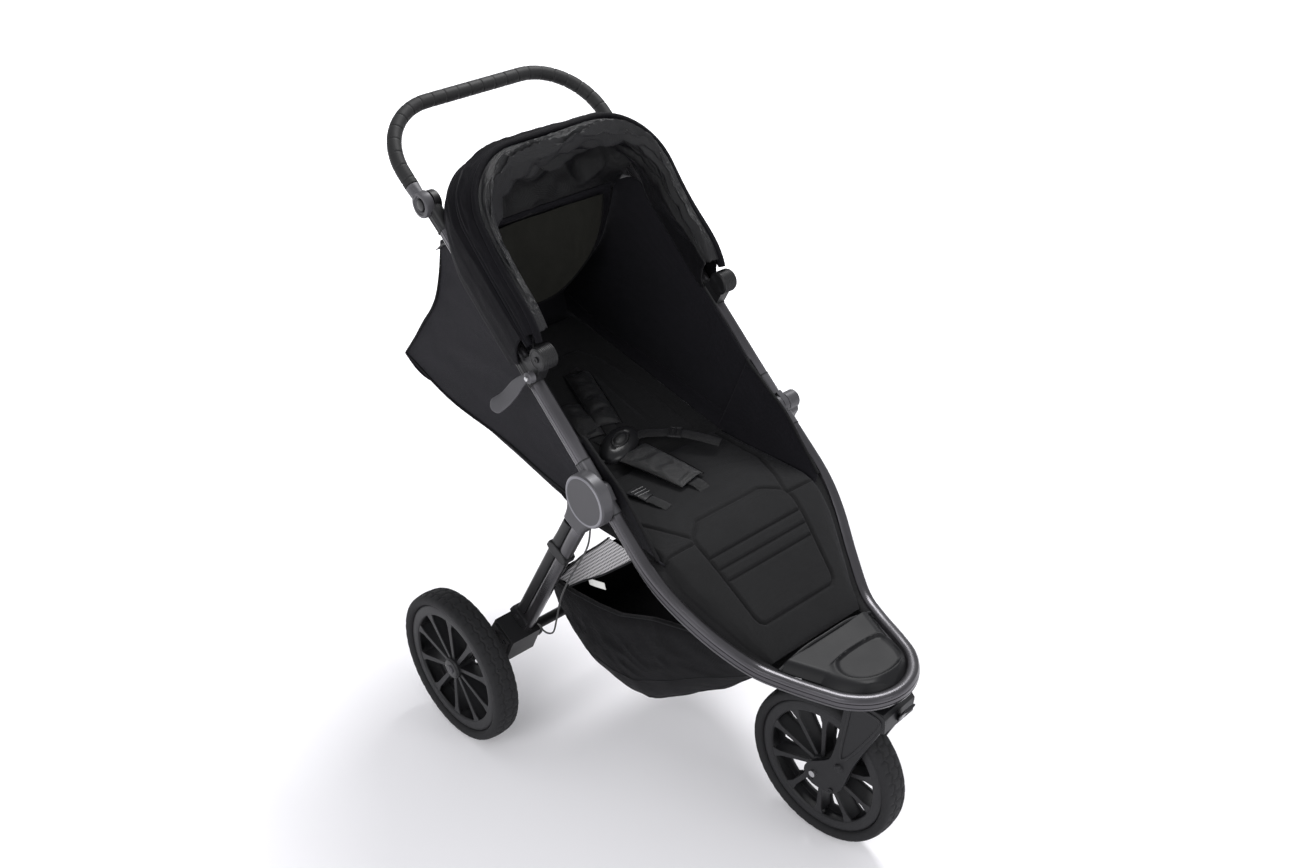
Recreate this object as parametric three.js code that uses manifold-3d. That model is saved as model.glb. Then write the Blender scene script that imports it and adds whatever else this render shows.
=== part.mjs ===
// A three-wheeled folding jogging stroller, in millimetres, +Z up, front towards -Y.
// X = 0 is the plane of symmetry. "right" is the rider's right-hand side, at -X.
// While it is laid out, Y = 0 is the rear wheels' axle line; the last lines centre the object.
import * as THREE from "three";
import { mergeVertices } from "three/addons/utils/BufferGeometryUtils.js";
import Module from "manifold-3d";

const wasm = await Module();
wasm.setup();

// ---------- driving dimensions (mm, degrees) ----------
const GAP = 0.4; // between pieces that touch
const RUN = 0.5; // radial clearance of a pin or an axle in its bore
const SIDES = [["right", -1], ["left", 1]];

// frame
const FRAME_HALF = 200; // centre of the side tubes from the middle
const TUBE_R = 12.5;
const TUBE_SEGMENTS = 10;
const HUB_Y = -276; // fold hinge
const HUB_Z = 602;
const FRAME_ANGLE = 41; // slope of the side tubes above the floor
const UPPER_LENGTH = 550; // hinge to handle pivot
const LOWER_COLLAR = 41; // hinge to the first seam on the lower tube
const UPPER_COLLAR = 57; // hinge to the first seam on the upper tube
const NOSE_Z = 372; // height of the tube where it loops round the front
const NOSE_RADIUS = 90;
const NOSE_CENTRE_Y = -647;
const KNUCKLE_R = 17;
const HINGE_PIN_R = 5;

// rear legs
const LEG_ANGLE = -61.5; // slope of the leg, below the floor's direction
const LEG_WIDTH = 20; // across
const LEG_DEPTH = 42; // fore and aft
const LEG_NECK = 75; // hinge to the end of the cast top
const LEG_END = 405; // hinge to the axle bracket
const DISC_R = 46; // round casting over the right hinge
const EYE_R = 16; // plain eye of the left casting
const CASTING_WIDTH = 24.5;
const CASTING_GAP = 0.25; // between the casting and the frame tube
const LEG_X = FRAME_HALF + TUBE_R + CASTING_GAP + CASTING_WIDTH / 2; // centre of the leg from the middle
const BRACKET_WIDTH = 62;
const CROSSBAR_R = 10;
const BRAKE_PIN_R = 3;
const BRAKE_PIN_FROM_AXLE = 36;
const BRAKE_PIN_BORE = 12;
const BRAKE_PIN_CLEAR = 3; // pin end to the blades with the brake off

// wheels
const WHEEL_R = 144;
const TYRE_WIDTH = 49;
const TYRE_DEPTH = 20; // tread to bead
const TRACK_HALF = 312; // middle of the rear tyre from the middle
const RIM_WIDTH = 40;
const RIM_DEPTH = 20;
const RIM_WALL = 4;
const SPOKES = 10;
const SPOKE_THICKNESS = 5;
const BLADE_WIDTH = 36;
const HUB_R = 20;
const HUB_WIDTH = 44;
const AXLE_R = 6;
const RELEASE_R = 8;
const RELEASE_TRAVEL = 4;
const RING_SEGMENTS = 30;

// front fork
const FRONT_AXLE_Y = -611;
const STEER_Y = -690;
const SWIVEL_REST = 4.4; // the fork stands turned a little to the left
const FORK_INNER = 30; // inside face of each arm from the middle
const ARM_THICKNESS = 9;
const CROWN_BOTTOM = 308;
const CROWN_TOP = 345;
const STEM_R = 8;

// handlebar
const HANDLE_HALF = 212;
const HANDLE_REACH = 177; // pivot to the middle of the top bar
const HANDLE_TILT = 52; // back from upright
const HANDLE_CORNER = 114;
const HANDLE_TUBE_R = 9.5;
const GRIP_R = 12.5;
const PIVOT_R = 22;
const PIVOT_WIDTH = 17;
const BUTTON_R = 10;
const BUTTON_TRAVEL = 4;

// canopy
const CANOPY_ALONG = 226; // pivot from the fold hinge, along the tube
const CANOPY_ABOVE = 51.6; // pivot above the middle of the tube
const DRUM_R = 20;
const DRUM_WIDTH = 32;
const BOW_R = 3;
const BOW_REACH = 345; // pivot to the top of the rear bow
const BOW_HALF = 205; // rear bow's legs from the middle
const BOW_STEP = 8; // each bow nests this far inside the one behind it
const BOW_CORNER = 100;
const BOW_ANGLES = [41, 46, 51]; // rear, middle and front bow above the floor
const FABRIC = 2.5;

// seat
const SEAT_HALF = 176;
const SEAT_FRONT_Y = -394;
const SEAT_FRONT_Z = 524;
const SEAT_BACK_Y = -172;
const SEAT_BACK_Z = 517;
const SEAT_THICKNESS = 18;
const RECLINE_Y = -150;
const RECLINE_Z = 511;
const BACK_LENGTH = 395;
const BACK_ANGLE = 10.5;
const BACK_THICKNESS = 18;
const WALL_X = 181; // inside face of the fabric side walls
const WALL_THICKNESS = 3;
const BASKET_HALF = 165;
const BASKET_WALL = 5;

// ---------- materials ----------
const paint = (color, roughness, metalness) => new THREE.MeshStandardMaterial({ color, roughness, metalness });
const gunmetal = paint(0x4a4a4e, 0.35, 0.8);
const blackPlastic = paint(0x1d1d1f, 0.6, 0);
const castGrey = paint(0x3d3c40, 0.5, 0.3);
const wheelPlastic = paint(0x232326, 0.65, 0);
const tyreRubber = paint(0x262628, 0.9, 0);
const gripFoam = paint(0x1a1a1c, 0.8, 0);
const steel = paint(0x8a8a8e, 0.3, 1);
const fabric = paint(0x141417, 0.95, 0);
const meshCloth = paint(0x202022, 0.95, 0);
const cableSleeve = paint(0x8c8c8c, 0.6, 0);

// ---------- helpers ----------
const rad = THREE.MathUtils.degToRad;
const axleFrame = new THREE.Group();

function add(name, geometry, material, parent = axleFrame) {
  const mesh = new THREE.Mesh(geometry, material);
  mesh.name = name;
  parent.add(mesh);
  return mesh;
}

function solid(geometry) {
  const bare = geometry.index ? geometry.toNonIndexed() : geometry.clone();
  bare.deleteAttribute("normal");
  bare.deleteAttribute("uv");
  const merged = mergeVertices(bare, 1e-3);
  return new wasm.Manifold(new wasm.Mesh({
    numProp: 3,
    vertProperties: merged.attributes.position.array,
    triVerts: new Uint32Array(merged.index.array),
  }));
}

function geometryOf(manifold) {
  const { vertProperties, triVerts } = manifold.getMesh();
  const geometry = new THREE.BufferGeometry();
  geometry.setAttribute("position", new THREE.BufferAttribute(vertProperties, 3));
  geometry.setIndex(new THREE.BufferAttribute(triVerts, 1));
  return geometry;
}

const union = (...geometries) => geometryOf(geometries.map(solid).reduce((a, b) => a.add(b)));
const cut = (body, ...tools) => geometryOf(tools.map(solid).reduce((a, b) => a.subtract(b), solid(body)));

function outline(points) {
  return new THREE.Shape(points.map(([u, v]) => new THREE.Vector2(u, v)));
}

function ring(radius, segments) {
  const shape = new THREE.Shape();
  for (let i = 0; i < segments; i++) {
    const a = (2 * Math.PI * i) / segments;
    const method = i === 0 ? "moveTo" : "lineTo";
    shape[method](radius * Math.cos(a), radius * Math.sin(a));
  }
  shape.closePath();
  return shape;
}

// An outline in Y and Z, extruded along X from low to high.
const FROM_YZ = new THREE.Matrix4().makeBasis(
  new THREE.Vector3(0, 1, 0), new THREE.Vector3(0, 0, 1), new THREE.Vector3(1, 0, 0));
function prismX(shape, low, high) {
  const geometry = new THREE.ExtrudeGeometry(shape, { depth: high - low, bevelEnabled: false, curveSegments: 10 });
  return geometry.applyMatrix4(FROM_YZ).translate(low, 0, 0);
}

// The same on one side: from inner to outer distance from the middle.
function sidePrism(shape, side, inner, outer) {
  return side < 0 ? prismX(shape, -outer, -inner) : prismX(shape, inner, outer);
}

function rodX(radius, low, high, y, z, segments = 20) {
  const geometry = new THREE.CylinderGeometry(radius, radius, high - low, segments);
  return geometry.rotateZ(Math.PI / 2).translate((low + high) / 2, y, z);
}

function sideRod(radius, side, inner, outer, y, z, segments) {
  return side < 0 ? rodX(radius, -outer, -inner, y, z, segments) : rodX(radius, inner, outer, y, z, segments);
}

function tubeAlong(points, radius, steps, segments, boreRadius) {
  const shape = ring(radius, segments);
  if (boreRadius) shape.holes.push(ring(boreRadius, segments));
  return new THREE.ExtrudeGeometry(shape, { steps, bevelEnabled: false, extrudePath: points });
}

// A point in Y and Z from the fold hinge: along a direction and square to it.
function fromHub(angle, along, across) {
  const a = rad(angle);
  return [
    HUB_Y + along * Math.cos(a) - across * Math.sin(a),
    HUB_Z + along * Math.sin(a) + across * Math.cos(a),
  ];
}
const onFrame = (along, above) => fromHub(FRAME_ANGLE, along, above);
const onLeg = (along, behind) => fromHub(LEG_ANGLE, along, behind);

// An arch in X and Z: two legs from the height "from" up to "reach", with round corners.
function archCurve(half, from, reach, corner) {
  const path = new THREE.CurvePath();
  const at = (x, z) => new THREE.Vector3(x, 0, z);
  const bend = corner * 0.5523; // control length of a quarter circle
  path.add(new THREE.LineCurve3(at(-half, from), at(-half, reach - corner)));
  path.add(new THREE.CubicBezierCurve3(
    at(-half, reach - corner), at(-half, reach - corner + bend),
    at(-half + corner - bend, reach), at(-half + corner, reach)));
  path.add(new THREE.LineCurve3(at(-half + corner, reach), at(half - corner, reach)));
  path.add(new THREE.CubicBezierCurve3(
    at(half - corner, reach), at(half - corner + bend, reach),
    at(half, reach - corner + bend), at(half, reach - corner)));
  path.add(new THREE.LineCurve3(at(half, reach - corner), at(half, from)));
  return path;
}

// The same arch as a flat band of the given thickness, outside the curve.
function archBand(half, from, reach, corner, thickness) {
  const shape = new THREE.Shape();
  shape.moveTo(-half - thickness, from);
  shape.lineTo(-half - thickness, reach - corner);
  shape.absarc(-half + corner, reach - corner, corner + thickness, Math.PI, Math.PI / 2, true);
  shape.lineTo(half - corner, reach + thickness);
  shape.absarc(half - corner, reach - corner, corner + thickness, Math.PI / 2, 0, true);
  shape.lineTo(half + thickness, from);
  shape.lineTo(half, from);
  shape.lineTo(half, reach - corner);
  shape.absarc(half - corner, reach - corner, corner, 0, Math.PI / 2, false);
  shape.lineTo(-half + corner, reach);
  shape.absarc(-half + corner, reach - corner, corner, Math.PI / 2, Math.PI, false);
  shape.lineTo(-half, from);
  shape.closePath();
  return shape;
}

// ---------- front frame: one tube from hinge to hinge round the nose ----------
// Half-width, Y and Z of the side rail, from the lower collar to the start of the nose.
function railPoints() {
  const [collarY, collarZ] = onFrame(-LOWER_COLLAR, 0);
  const [bendY, bendZ] = onFrame(-150, 0);
  return [
    [FRAME_HALF, collarY, collarZ],
    [FRAME_HALF, bendY, bendZ],
    [FRAME_HALF - 11, HUB_Y - 156, HUB_Z - 136],
    [FRAME_HALF - 40, HUB_Y - 218, HUB_Z - 189],
    [FRAME_HALF - 69, HUB_Y - 277, NOSE_Z + 6],
    [NOSE_RADIUS + 24, NOSE_CENTRE_Y + 48, NOSE_Z],
    [NOSE_RADIUS + 2, NOSE_CENTRE_Y - 14, NOSE_Z],
  ];
}

function frontFrame() {
  const side = railPoints();
  const nose = [];
  for (const degrees of [-32, -60, -90]) {
    const a = rad(degrees);
    nose.push([NOSE_RADIUS * Math.cos(a), NOSE_CENTRE_Y + NOSE_RADIUS * Math.sin(a), NOSE_Z]);
  }
  const half = [...side, ...nose];
  const left = half.map(([x, y, z]) => new THREE.Vector3(x, y, z));
  const right = half.slice(0, -1).reverse().map(([x, y, z]) => new THREE.Vector3(-x, y, z));
  const path = new THREE.CatmullRomCurve3([...left, ...right], false, "centripetal");
  add("front_frame_tube", tubeAlong(path, TUBE_R, 44, TUBE_SEGMENTS), gunmetal);
}

function bar(angle, from, to, half) {
  return outline([
    fromHub(angle, from, -half), fromHub(angle, to, -half),
    fromHub(angle, to, half), fromHub(angle, from, half),
  ]);
}

function knuckles() {
  const middle = FRAME_HALF;
  const inner = middle - TUBE_R + 1;
  const outer = middle + TUBE_R - 1;
  const bore = HINGE_PIN_R + RUN;
  for (const [name, side] of SIDES) {
    const make = (from, to, x0, x1) => cut(
      union(
        sideRod(KNUCKLE_R, side, x0, x1, HUB_Y, HUB_Z, 24),
        sidePrism(bar(FRAME_ANGLE, from, to, TUBE_R - 1), side, x0, x1),
      ),
      sideRod(bore, side, x0 - 1, x1 + 1, HUB_Y, HUB_Z, 20),
    );
    add("lower_knuckle_" + name, make(-LOWER_COLLAR + GAP, -6, inner, middle - GAP), castGrey);
    add("upper_knuckle_" + name, make(6, UPPER_COLLAR - GAP, middle + GAP, outer), castGrey);
    const pin = sideRod(HINGE_PIN_R, side, inner, LEG_X + CASTING_WIDTH / 2 - 6, HUB_Y, HUB_Z, 20);
    add("hinge_pin_" + name, pin, steel);
  }
}

function footplate() {
  const inset = TUBE_R + 1;
  const radius = NOSE_RADIUS - inset;
  const rearY = NOSE_CENTRE_Y + 63;
  const rearHalf = NOSE_RADIUS + 27 - TUBE_R - 5;
  const shape = new THREE.Shape();
  shape.moveTo(rearHalf, rearY);
  shape.lineTo(-rearHalf, rearY);
  shape.lineTo(-radius, NOSE_CENTRE_Y);
  shape.absarc(0, NOSE_CENTRE_Y, radius, Math.PI, 2 * Math.PI, false);
  shape.closePath();
  const plate = new THREE.ExtrudeGeometry(shape, {
    depth: 8, bevelEnabled: true, bevelThickness: 2, bevelSize: 2, bevelOffset: -2, bevelSegments: 1, curveSegments: 16,
  });
  add("footplate", plate.translate(0, 0, NOSE_Z - 4), blackPlastic);

  const bottom = CROWN_TOP + 3;
  const top = NOSE_Z - 6 - GAP;
  const mount = new THREE.Shape().absarc(0, 0, 26, 0, 2 * Math.PI, false);
  mount.holes.push(new THREE.Path().absarc(0, 0, STEM_R + RUN, 0, 2 * Math.PI, true));
  const block = new THREE.ExtrudeGeometry(mount, { depth: top - bottom, bevelEnabled: false, curveSegments: 14 });
  add("fork_mount", block.translate(0, STEER_Y, bottom), blackPlastic);
}

// ---------- seat, leg rest and basket: cloth held by the front frame ----------
function seat() {
  const pan = outline([
    [SEAT_FRONT_Y, SEAT_FRONT_Z - SEAT_THICKNESS], [SEAT_BACK_Y, SEAT_BACK_Z - SEAT_THICKNESS],
    [SEAT_BACK_Y, SEAT_BACK_Z], [SEAT_FRONT_Y, SEAT_FRONT_Z],
  ]);
  add("seat_base", prismX(pan, -SEAT_HALF, SEAT_HALF), fabric);

  const bottomY = NOSE_CENTRE_Y + 84;
  const bottomZ = NOSE_Z + 8;
  const topY = SEAT_FRONT_Y - 3;
  const topZ = SEAT_FRONT_Z - 10;
  const length = Math.hypot(topY - bottomY, topZ - bottomZ);
  const slope = Math.atan2(topZ - bottomZ, topY - bottomY);
  const bottomHalf = NOSE_RADIUS + 18;
  const rest = outline([[-bottomHalf, 0], [bottomHalf, 0], [SEAT_HALF - 1, length], [-SEAT_HALF + 1, length]]);
  const panel = new THREE.ExtrudeGeometry(rest, { depth: 8, bevelEnabled: false });
  add("legrest", panel.rotateX(slope).translate(0, bottomY, bottomZ), fabric);

  const pad = new THREE.BoxGeometry(44, 112, 10);
  add("crotch_pad", pad.translate(-30, SEAT_BACK_Y - 62, SEAT_BACK_Z + 13), fabric);
}

function basket() {
  const profile = (inset, lift) => outline([
    [-108 - inset, 206 + inset], [-183, 148 + inset], [-304, 166 + inset], [-455, 268 + inset],
    [-560 + inset, 350 + inset], [-560 + inset, 352 + lift], [-455, 392 + lift], [-350, 380 + lift],
    [-252, 360 + lift], [-108 - inset, 342 + lift],
  ]);
  const frontHalf = NOSE_RADIUS + 20;
  const plan = (inset) => {
    const across = [[-390, BASKET_HALF - inset], [-100, BASKET_HALF - inset]];
    const shape = outline([
      [-frontHalf + inset, -570], [frontHalf - inset, -570],
      ...across.map(([y, half]) => [half, y]), ...across.reverse().map(([y, half]) => [-half, y]),
    ]);
    return solid(new THREE.ExtrudeGeometry(shape, { depth: 600, bevelEnabled: false }));
  };
  const outside = solid(prismX(profile(0, 0), -BASKET_HALF, BASKET_HALF)).intersect(plan(0));
  const inside = solid(prismX(profile(BASKET_WALL, 60), -BASKET_HALF, BASKET_HALF)).intersect(plan(BASKET_WALL));
  add("basket", geometryOf(outside.subtract(inside)), fabric);
}

// ---------- upper frame ----------
function upperFrame() {
  const [handleY, handleZ] = onFrame(UPPER_LENGTH, 0);
  const [canopyY, canopyZ] = onFrame(CANOPY_ALONG, CANOPY_ABOVE);
  const from = UPPER_COLLAR;
  const to = UPPER_LENGTH - PIVOT_R - GAP;
  for (const [name, side] of SIDES) {
    const tube = new THREE.CylinderGeometry(TUBE_R, TUBE_R, to - from, TUBE_SEGMENTS);
    const [y, z] = onFrame((from + to) / 2, 0);
    const x = side * FRAME_HALF;
    add("upper_tube_" + name, tube.rotateX(rad(FRAME_ANGLE)).translate(x, y, z), gunmetal);

    const inner = FRAME_HALF - DRUM_WIDTH * 0.62;
    const block = outline([
      onFrame(CANOPY_ALONG - 16, TUBE_R + GAP), onFrame(CANOPY_ALONG + 16, TUBE_R + GAP),
      onFrame(CANOPY_ALONG + 12, CANOPY_ABOVE), onFrame(CANOPY_ALONG - 12, CANOPY_ABOVE),
    ]);
    const mount = union(
      sideRod(DRUM_R, side, inner, inner + DRUM_WIDTH, canopyY, canopyZ, 24),
      sidePrism(block, side, inner + 8, inner + DRUM_WIDTH - 2),
    );
    add("canopy_mount_" + name, mount, blackPlastic);

    const housing = sideRod(PIVOT_R - 2, side, HANDLE_HALF - PIVOT_WIDTH - 8, HANDLE_HALF - PIVOT_WIDTH / 2 - GAP,
      handleY, handleZ, 24);
    add("handle_housing_" + name, housing, blackPlastic);
  }
}

function sideWalls() {
  const edge = [
    onFrame(24, 4), onFrame(UPPER_LENGTH - 36, 4), onFrame(501, -48),
    [168, 778], [213, 713], [286, 621], [154, 581], [10, 568], [-98, 549], [-160, 547],
  ];
  for (const [name, side] of SIDES) {
    add("side_wall_" + name, sidePrism(outline(edge), side, WALL_X, WALL_X + WALL_THICKNESS), fabric);
  }
  const outer = [[134, 890], [166, 778], [210, 713], [280, 622]];
  const shape = outline([...outer, ...outer.map(([y, z]) => [y - 4, z - 1]).reverse()]);
  add("rear_panel", prismX(shape, -SEAT_HALF, SEAT_HALF), fabric);
}

// ---------- handlebar ----------
function handlebar() {
  const [y, z] = onFrame(UPPER_LENGTH, 0);
  const group = new THREE.Group();
  group.position.set(0, y, z);
  group.rotation.x = -rad(HANDLE_TILT);
  axleFrame.add(group);

  const curve = archCurve(HANDLE_HALF, PIVOT_R - 2 + GAP, HANDLE_REACH, HANDLE_CORNER);
  let bent = tubeAlong(curve, HANDLE_TUBE_R, 24, 10);
  for (const [name, side] of SIDES) {
    const low = HANDLE_HALF - PIVOT_WIDTH / 2;
    const high = HANDLE_HALF + PIVOT_WIDTH / 2;
    bent = union(bent, sideRod(PIVOT_R, side, low, high, 0, 0, 24));
    bent = cut(bent, sideRod(BUTTON_R + RUN, side, high - 8, high + 1, 0, 0, 20));
    const button = sideRod(BUTTON_R, side, high - 8 + BUTTON_TRAVEL + GAP, high + BUTTON_TRAVEL - 1, 0, 0, 20);
    add("handle_button_" + name, button, blackPlastic, group);
  }
  add("handlebar", bent, castGrey, group);

  const gripCurve = archCurve(HANDLE_HALF, PIVOT_R + 12, HANDLE_REACH, HANDLE_CORNER);
  add("handle_grip", tubeAlong(gripCurve, GRIP_R, 20, 10, HANDLE_TUBE_R + 1.1), gripFoam, group);
}

// ---------- canopy: three bows and the cloth gathered between them ----------
function canopy() {
  const [y, z] = onFrame(CANOPY_ALONG, CANOPY_ABOVE);
  const place = (angle) => {
    const group = new THREE.Group();
    group.position.set(0, y, z);
    group.rotation.x = rad(angle - 90);
    axleFrame.add(group);
    return group;
  };
  const names = ["rear", "middle", "front"];
  names.forEach((name, i) => {
    const nest = i * BOW_STEP;
    const curve = archCurve(BOW_HALF - nest, DRUM_R + 5, BOW_REACH - nest, BOW_CORNER - nest);
    add("canopy_bow_" + name, tubeAlong(curve, BOW_R, 20, 6), blackPlastic, place(BOW_ANGLES[i]));
  });

  const clear = BOW_R + GAP;
  const band = archBand(BOW_HALF + clear, DRUM_R + 40, BOW_REACH + clear, BOW_CORNER, FABRIC);
  const big = 4 * BOW_REACH;
  const sector = (low, high) => {
    const deep = new THREE.ExtrudeGeometry(band, { depth: 2 * BOW_REACH, bevelEnabled: false, curveSegments: 8 });
    deep.rotateX(Math.PI / 2).translate(0, BOW_REACH, 0).rotateX(rad((low + high) / 2 - 90));
    const below = new THREE.BoxGeometry(big, big, big).translate(0, 0, -big / 2).rotateX(rad(low));
    const above = new THREE.BoxGeometry(big, big, big).translate(0, 0, big / 2).rotateX(rad(high));
    return cut(deep, below, above).translate(0, y, z);
  };
  add("canopy_cloth_rear", sector(BOW_ANGLES[0], BOW_ANGLES[1] - 0.2), fabric);
  add("canopy_cloth_front", sector(BOW_ANGLES[1] + 0.2, BOW_ANGLES[2] + 1), fabric);
}

// ---------- backrest and harness ----------
function backrest() {
  const group = new THREE.Group();
  group.position.set(0, RECLINE_Y, RECLINE_Z);
  group.rotation.x = rad(BACK_ANGLE);
  axleFrame.add(group);
  const top = BACK_THICKNESS / 2;
  const board = new THREE.BoxGeometry(2 * SEAT_HALF - 8, BACK_LENGTH, BACK_THICKNESS);
  add("backrest", board.translate(0, BACK_LENGTH / 2, 0), fabric, group);

  const buckleZ = top + 14;
  const puck = new THREE.CylinderGeometry(26, 30, 14, 24).rotateX(Math.PI / 2).scale(1.15, 0.9, 1);
  const socket = new THREE.CylinderGeometry(9, 9, 12, 16).rotateX(Math.PI / 2).translate(0, 0, 5);
  add("harness_buckle", cut(puck, socket).translate(-24, 42, buckleZ), blackPlastic, group);
  const button = new THREE.CylinderGeometry(8.4, 8.4, 7, 16).rotateX(Math.PI / 2);
  add("buckle_button", button.translate(-24, 42, buckleZ + 6), blackPlastic, group);

  for (const [name, side, x, from] of [["right", -1, -52, 84], ["left", 1, 6, 90]]) {
    const pad = new THREE.BoxGeometry(46, 130, 9).rotateZ(rad(-side * 2 - 10));
    add("shoulder_pad_" + name, pad.translate(x, from + 65, top + 8), fabric, group);
  }
}

// ---------- wheels ----------
const BEAD_R = WHEEL_R - TYRE_DEPTH;

function lathedX(profile, segments = RING_SEGMENTS) {
  const points = profile.map(([r, x]) => new THREE.Vector2(r, x));
  return new THREE.LatheGeometry([...points, points[0]], segments).rotateZ(-Math.PI / 2);
}

function tyre() {
  const half = TYRE_WIDTH / 2;
  const inner = BEAD_R + GAP;
  return lathedX([
    [inner, -half + 6], [inner + 8, -half], [WHEEL_R - 6, -half + 1], [WHEEL_R, -half + 9],
    [WHEEL_R, half - 9], [WHEEL_R - 6, half - 1], [inner + 8, half], [inner, half - 6],
  ]);
}

// Hub, blade spokes and channel rim in one moulding. outboard is the sign of X of its open side.
function wheel(outboard, counterbore) {
  const half = RIM_WIDTH / 2;
  const lip = BEAD_R - RIM_DEPTH;
  const floor = BEAD_R - RIM_WALL;
  let body = solid(lathedX([
    [lip, half - RIM_WALL], [floor, half - RIM_WALL], [floor, -half + RIM_WALL], [lip, -half + RIM_WALL],
    [lip, -half], [BEAD_R, -half], [BEAD_R, half], [lip, half],
  ]));
  body = body.add(solid(rodX(HUB_R, -HUB_WIDTH / 2, HUB_WIDTH / 2, 0, 0, 20)));
  for (let i = 0; i < SPOKES; i++) {
    const from = HUB_R - 3;
    const to = floor + 1;
    const blade = new THREE.BoxGeometry(BLADE_WIDTH, SPOKE_THICKNESS, to - from);
    blade.translate(0, 0, (from + to) / 2).rotateX((2 * Math.PI * i) / SPOKES);
    body = body.add(solid(blade));
  }
  body = body.subtract(solid(rodX(AXLE_R + RUN, -HUB_WIDTH, HUB_WIDTH, 0, 0, 20)));
  if (counterbore) {
    const mouth = sideRod(RELEASE_R + RUN, outboard, HUB_WIDTH / 2 - 8, HUB_WIDTH / 2 + 1, 0, 0, 20);
    body = body.subtract(solid(mouth));
  }
  return geometryOf(body);
}

function rearWheels() {
  for (const [name, side] of SIDES) {
    const x = side * TRACK_HALF;
    add("rear_wheel_" + name, wheel(side, true).translate(x, 0, WHEEL_R), wheelPlastic);
    add("rear_tyre_" + name, tyre().translate(x, 0, WHEEL_R), tyreRubber);
    const seatX = TRACK_HALF + HUB_WIDTH / 2 - 8 + RELEASE_TRAVEL + GAP;
    const release = sideRod(RELEASE_R, side, seatX, seatX + 8, 0, WHEEL_R, 20);
    add("wheel_release_" + name, release, blackPlastic);
  }
}

// ---------- rear legs ----------
// Half-way between two blades, so that a pin pushed out locks the wheel.
function brakePinAt() {
  const half = Math.PI / SPOKES;
  return [-BRAKE_PIN_FROM_AXLE * Math.sin(half), WHEEL_R + BRAKE_PIN_FROM_AXLE * Math.cos(half)];
}

function rearLegs() {
  const inner = LEG_X - CASTING_WIDTH / 2;
  const outer = LEG_X + CASTING_WIDTH / 2;
  const bracketInner = LEG_X - 17;
  const bracketOuter = bracketInner + BRACKET_WIDTH;
  const neckHalf = LEG_DEPTH / 2;
  const bracketShape = outline([
    [LEG_END + GAP, -30], [LEG_END + 65, -34], [LEG_END + 92, -12], [LEG_END + 142, 6], [LEG_END + 154, 24],
    [LEG_END + 142, 42], [LEG_END + 112, 44], [LEG_END + 55, 28], [LEG_END + GAP, 28],
  ].map(([along, behind]) => onLeg(along, behind)));
  for (const [name, side] of SIDES) {
    const casting = cut(
      union(
        sideRod(side < 0 ? DISC_R : EYE_R, side, inner, outer, HUB_Y, HUB_Z, 24),
        sidePrism(bar(LEG_ANGLE, EYE_R / 2, LEG_NECK - GAP, neckHalf), side, inner, outer),
      ),
      sideRod(HINGE_PIN_R + RUN, side, inner - 1, outer - 4, HUB_Y, HUB_Z, 20),
    );
    add("leg_casting_" + name, casting, castGrey);

    const section = outline([
      [-LEG_WIDTH / 2, -neckHalf + 5], [-LEG_WIDTH / 2 + 5, -neckHalf], [LEG_WIDTH / 2 - 5, -neckHalf],
      [LEG_WIDTH / 2, -neckHalf + 5], [LEG_WIDTH / 2, neckHalf - 5], [LEG_WIDTH / 2 - 5, neckHalf],
      [-LEG_WIDTH / 2 + 5, neckHalf], [-LEG_WIDTH / 2, neckHalf - 5],
    ]);
    const tube = new THREE.ExtrudeGeometry(section, { depth: LEG_END - LEG_NECK, bevelEnabled: false });
    const [y, z] = onLeg(LEG_NECK, 0);
    tube.rotateX(rad(LEG_ANGLE - 90)).translate(side * LEG_X, y, z);
    add("rear_leg_" + name, tube, gunmetal);

    const bracket = union(
      sidePrism(bracketShape, side, bracketInner, bracketOuter),
      sideRod(AXLE_R, side, bracketOuter - 1, TRACK_HALF + HUB_WIDTH / 2 - 10, 0, WHEEL_R, 20),
    );
    const [pinY, pinZ] = brakePinAt();
    const pinFrom = bracketOuter - BRAKE_PIN_BORE;
    const pinBore = sideRod(BRAKE_PIN_R + RUN, side, pinFrom, bracketOuter + 1, pinY, pinZ, 12);
    add("axle_bracket_" + name, cut(bracket, pinBore), blackPlastic);

    const bladeFace = TRACK_HALF - BLADE_WIDTH / 2;
    const pin = sideRod(BRAKE_PIN_R, side, pinFrom + 1, bladeFace - BRAKE_PIN_CLEAR, pinY, pinZ, 12);
    add("brake_pin_" + name, pin, steel);
  }
  const at = (x, [y, z]) => new THREE.Vector3(x, y, z);
  const end = bracketInner - GAP;
  const high = onLeg(LEG_END + 29, -18);
  const low = [-38, 178];
  const path = new THREE.CurvePath();
  path.add(new THREE.LineCurve3(at(-end, high), at(-end + 8, high)));
  path.add(new THREE.LineCurve3(at(-end + 8, high), at(-end + 30, low)));
  path.add(new THREE.LineCurve3(at(-end + 30, low), at(end - 30, low)));
  path.add(new THREE.LineCurve3(at(end - 30, low), at(end - 8, high)));
  path.add(new THREE.LineCurve3(at(end - 8, high), at(end, high)));
  add("rear_crossbar", tubeAlong(path, CROSSBAR_R, 26, 8), blackPlastic);
}

// ---------- parking brake ----------
function brakeLever() {
  const [y, z] = onFrame(212, 21);
  const arm = outline([
    [y - 9, z - 4], [y - 4, z - 10], [y + 30, z - 40], [y + 58, z - 80], [y + 72, z - 84],
    [y + 84, z - 74], [y + 78, z - 56], [y + 46, z - 18], [y + 10, z + 8], [y - 4, z + 8],
  ]);
  const face = FRAME_HALF + TUBE_R;
  const lever = union(
    sidePrism(arm, -1, face + 6, face + 14),
    sideRod(6, -1, face + GAP, face + 7, y, z, 16),
  );
  add("brake_lever", lever, gunmetal);
}

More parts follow.
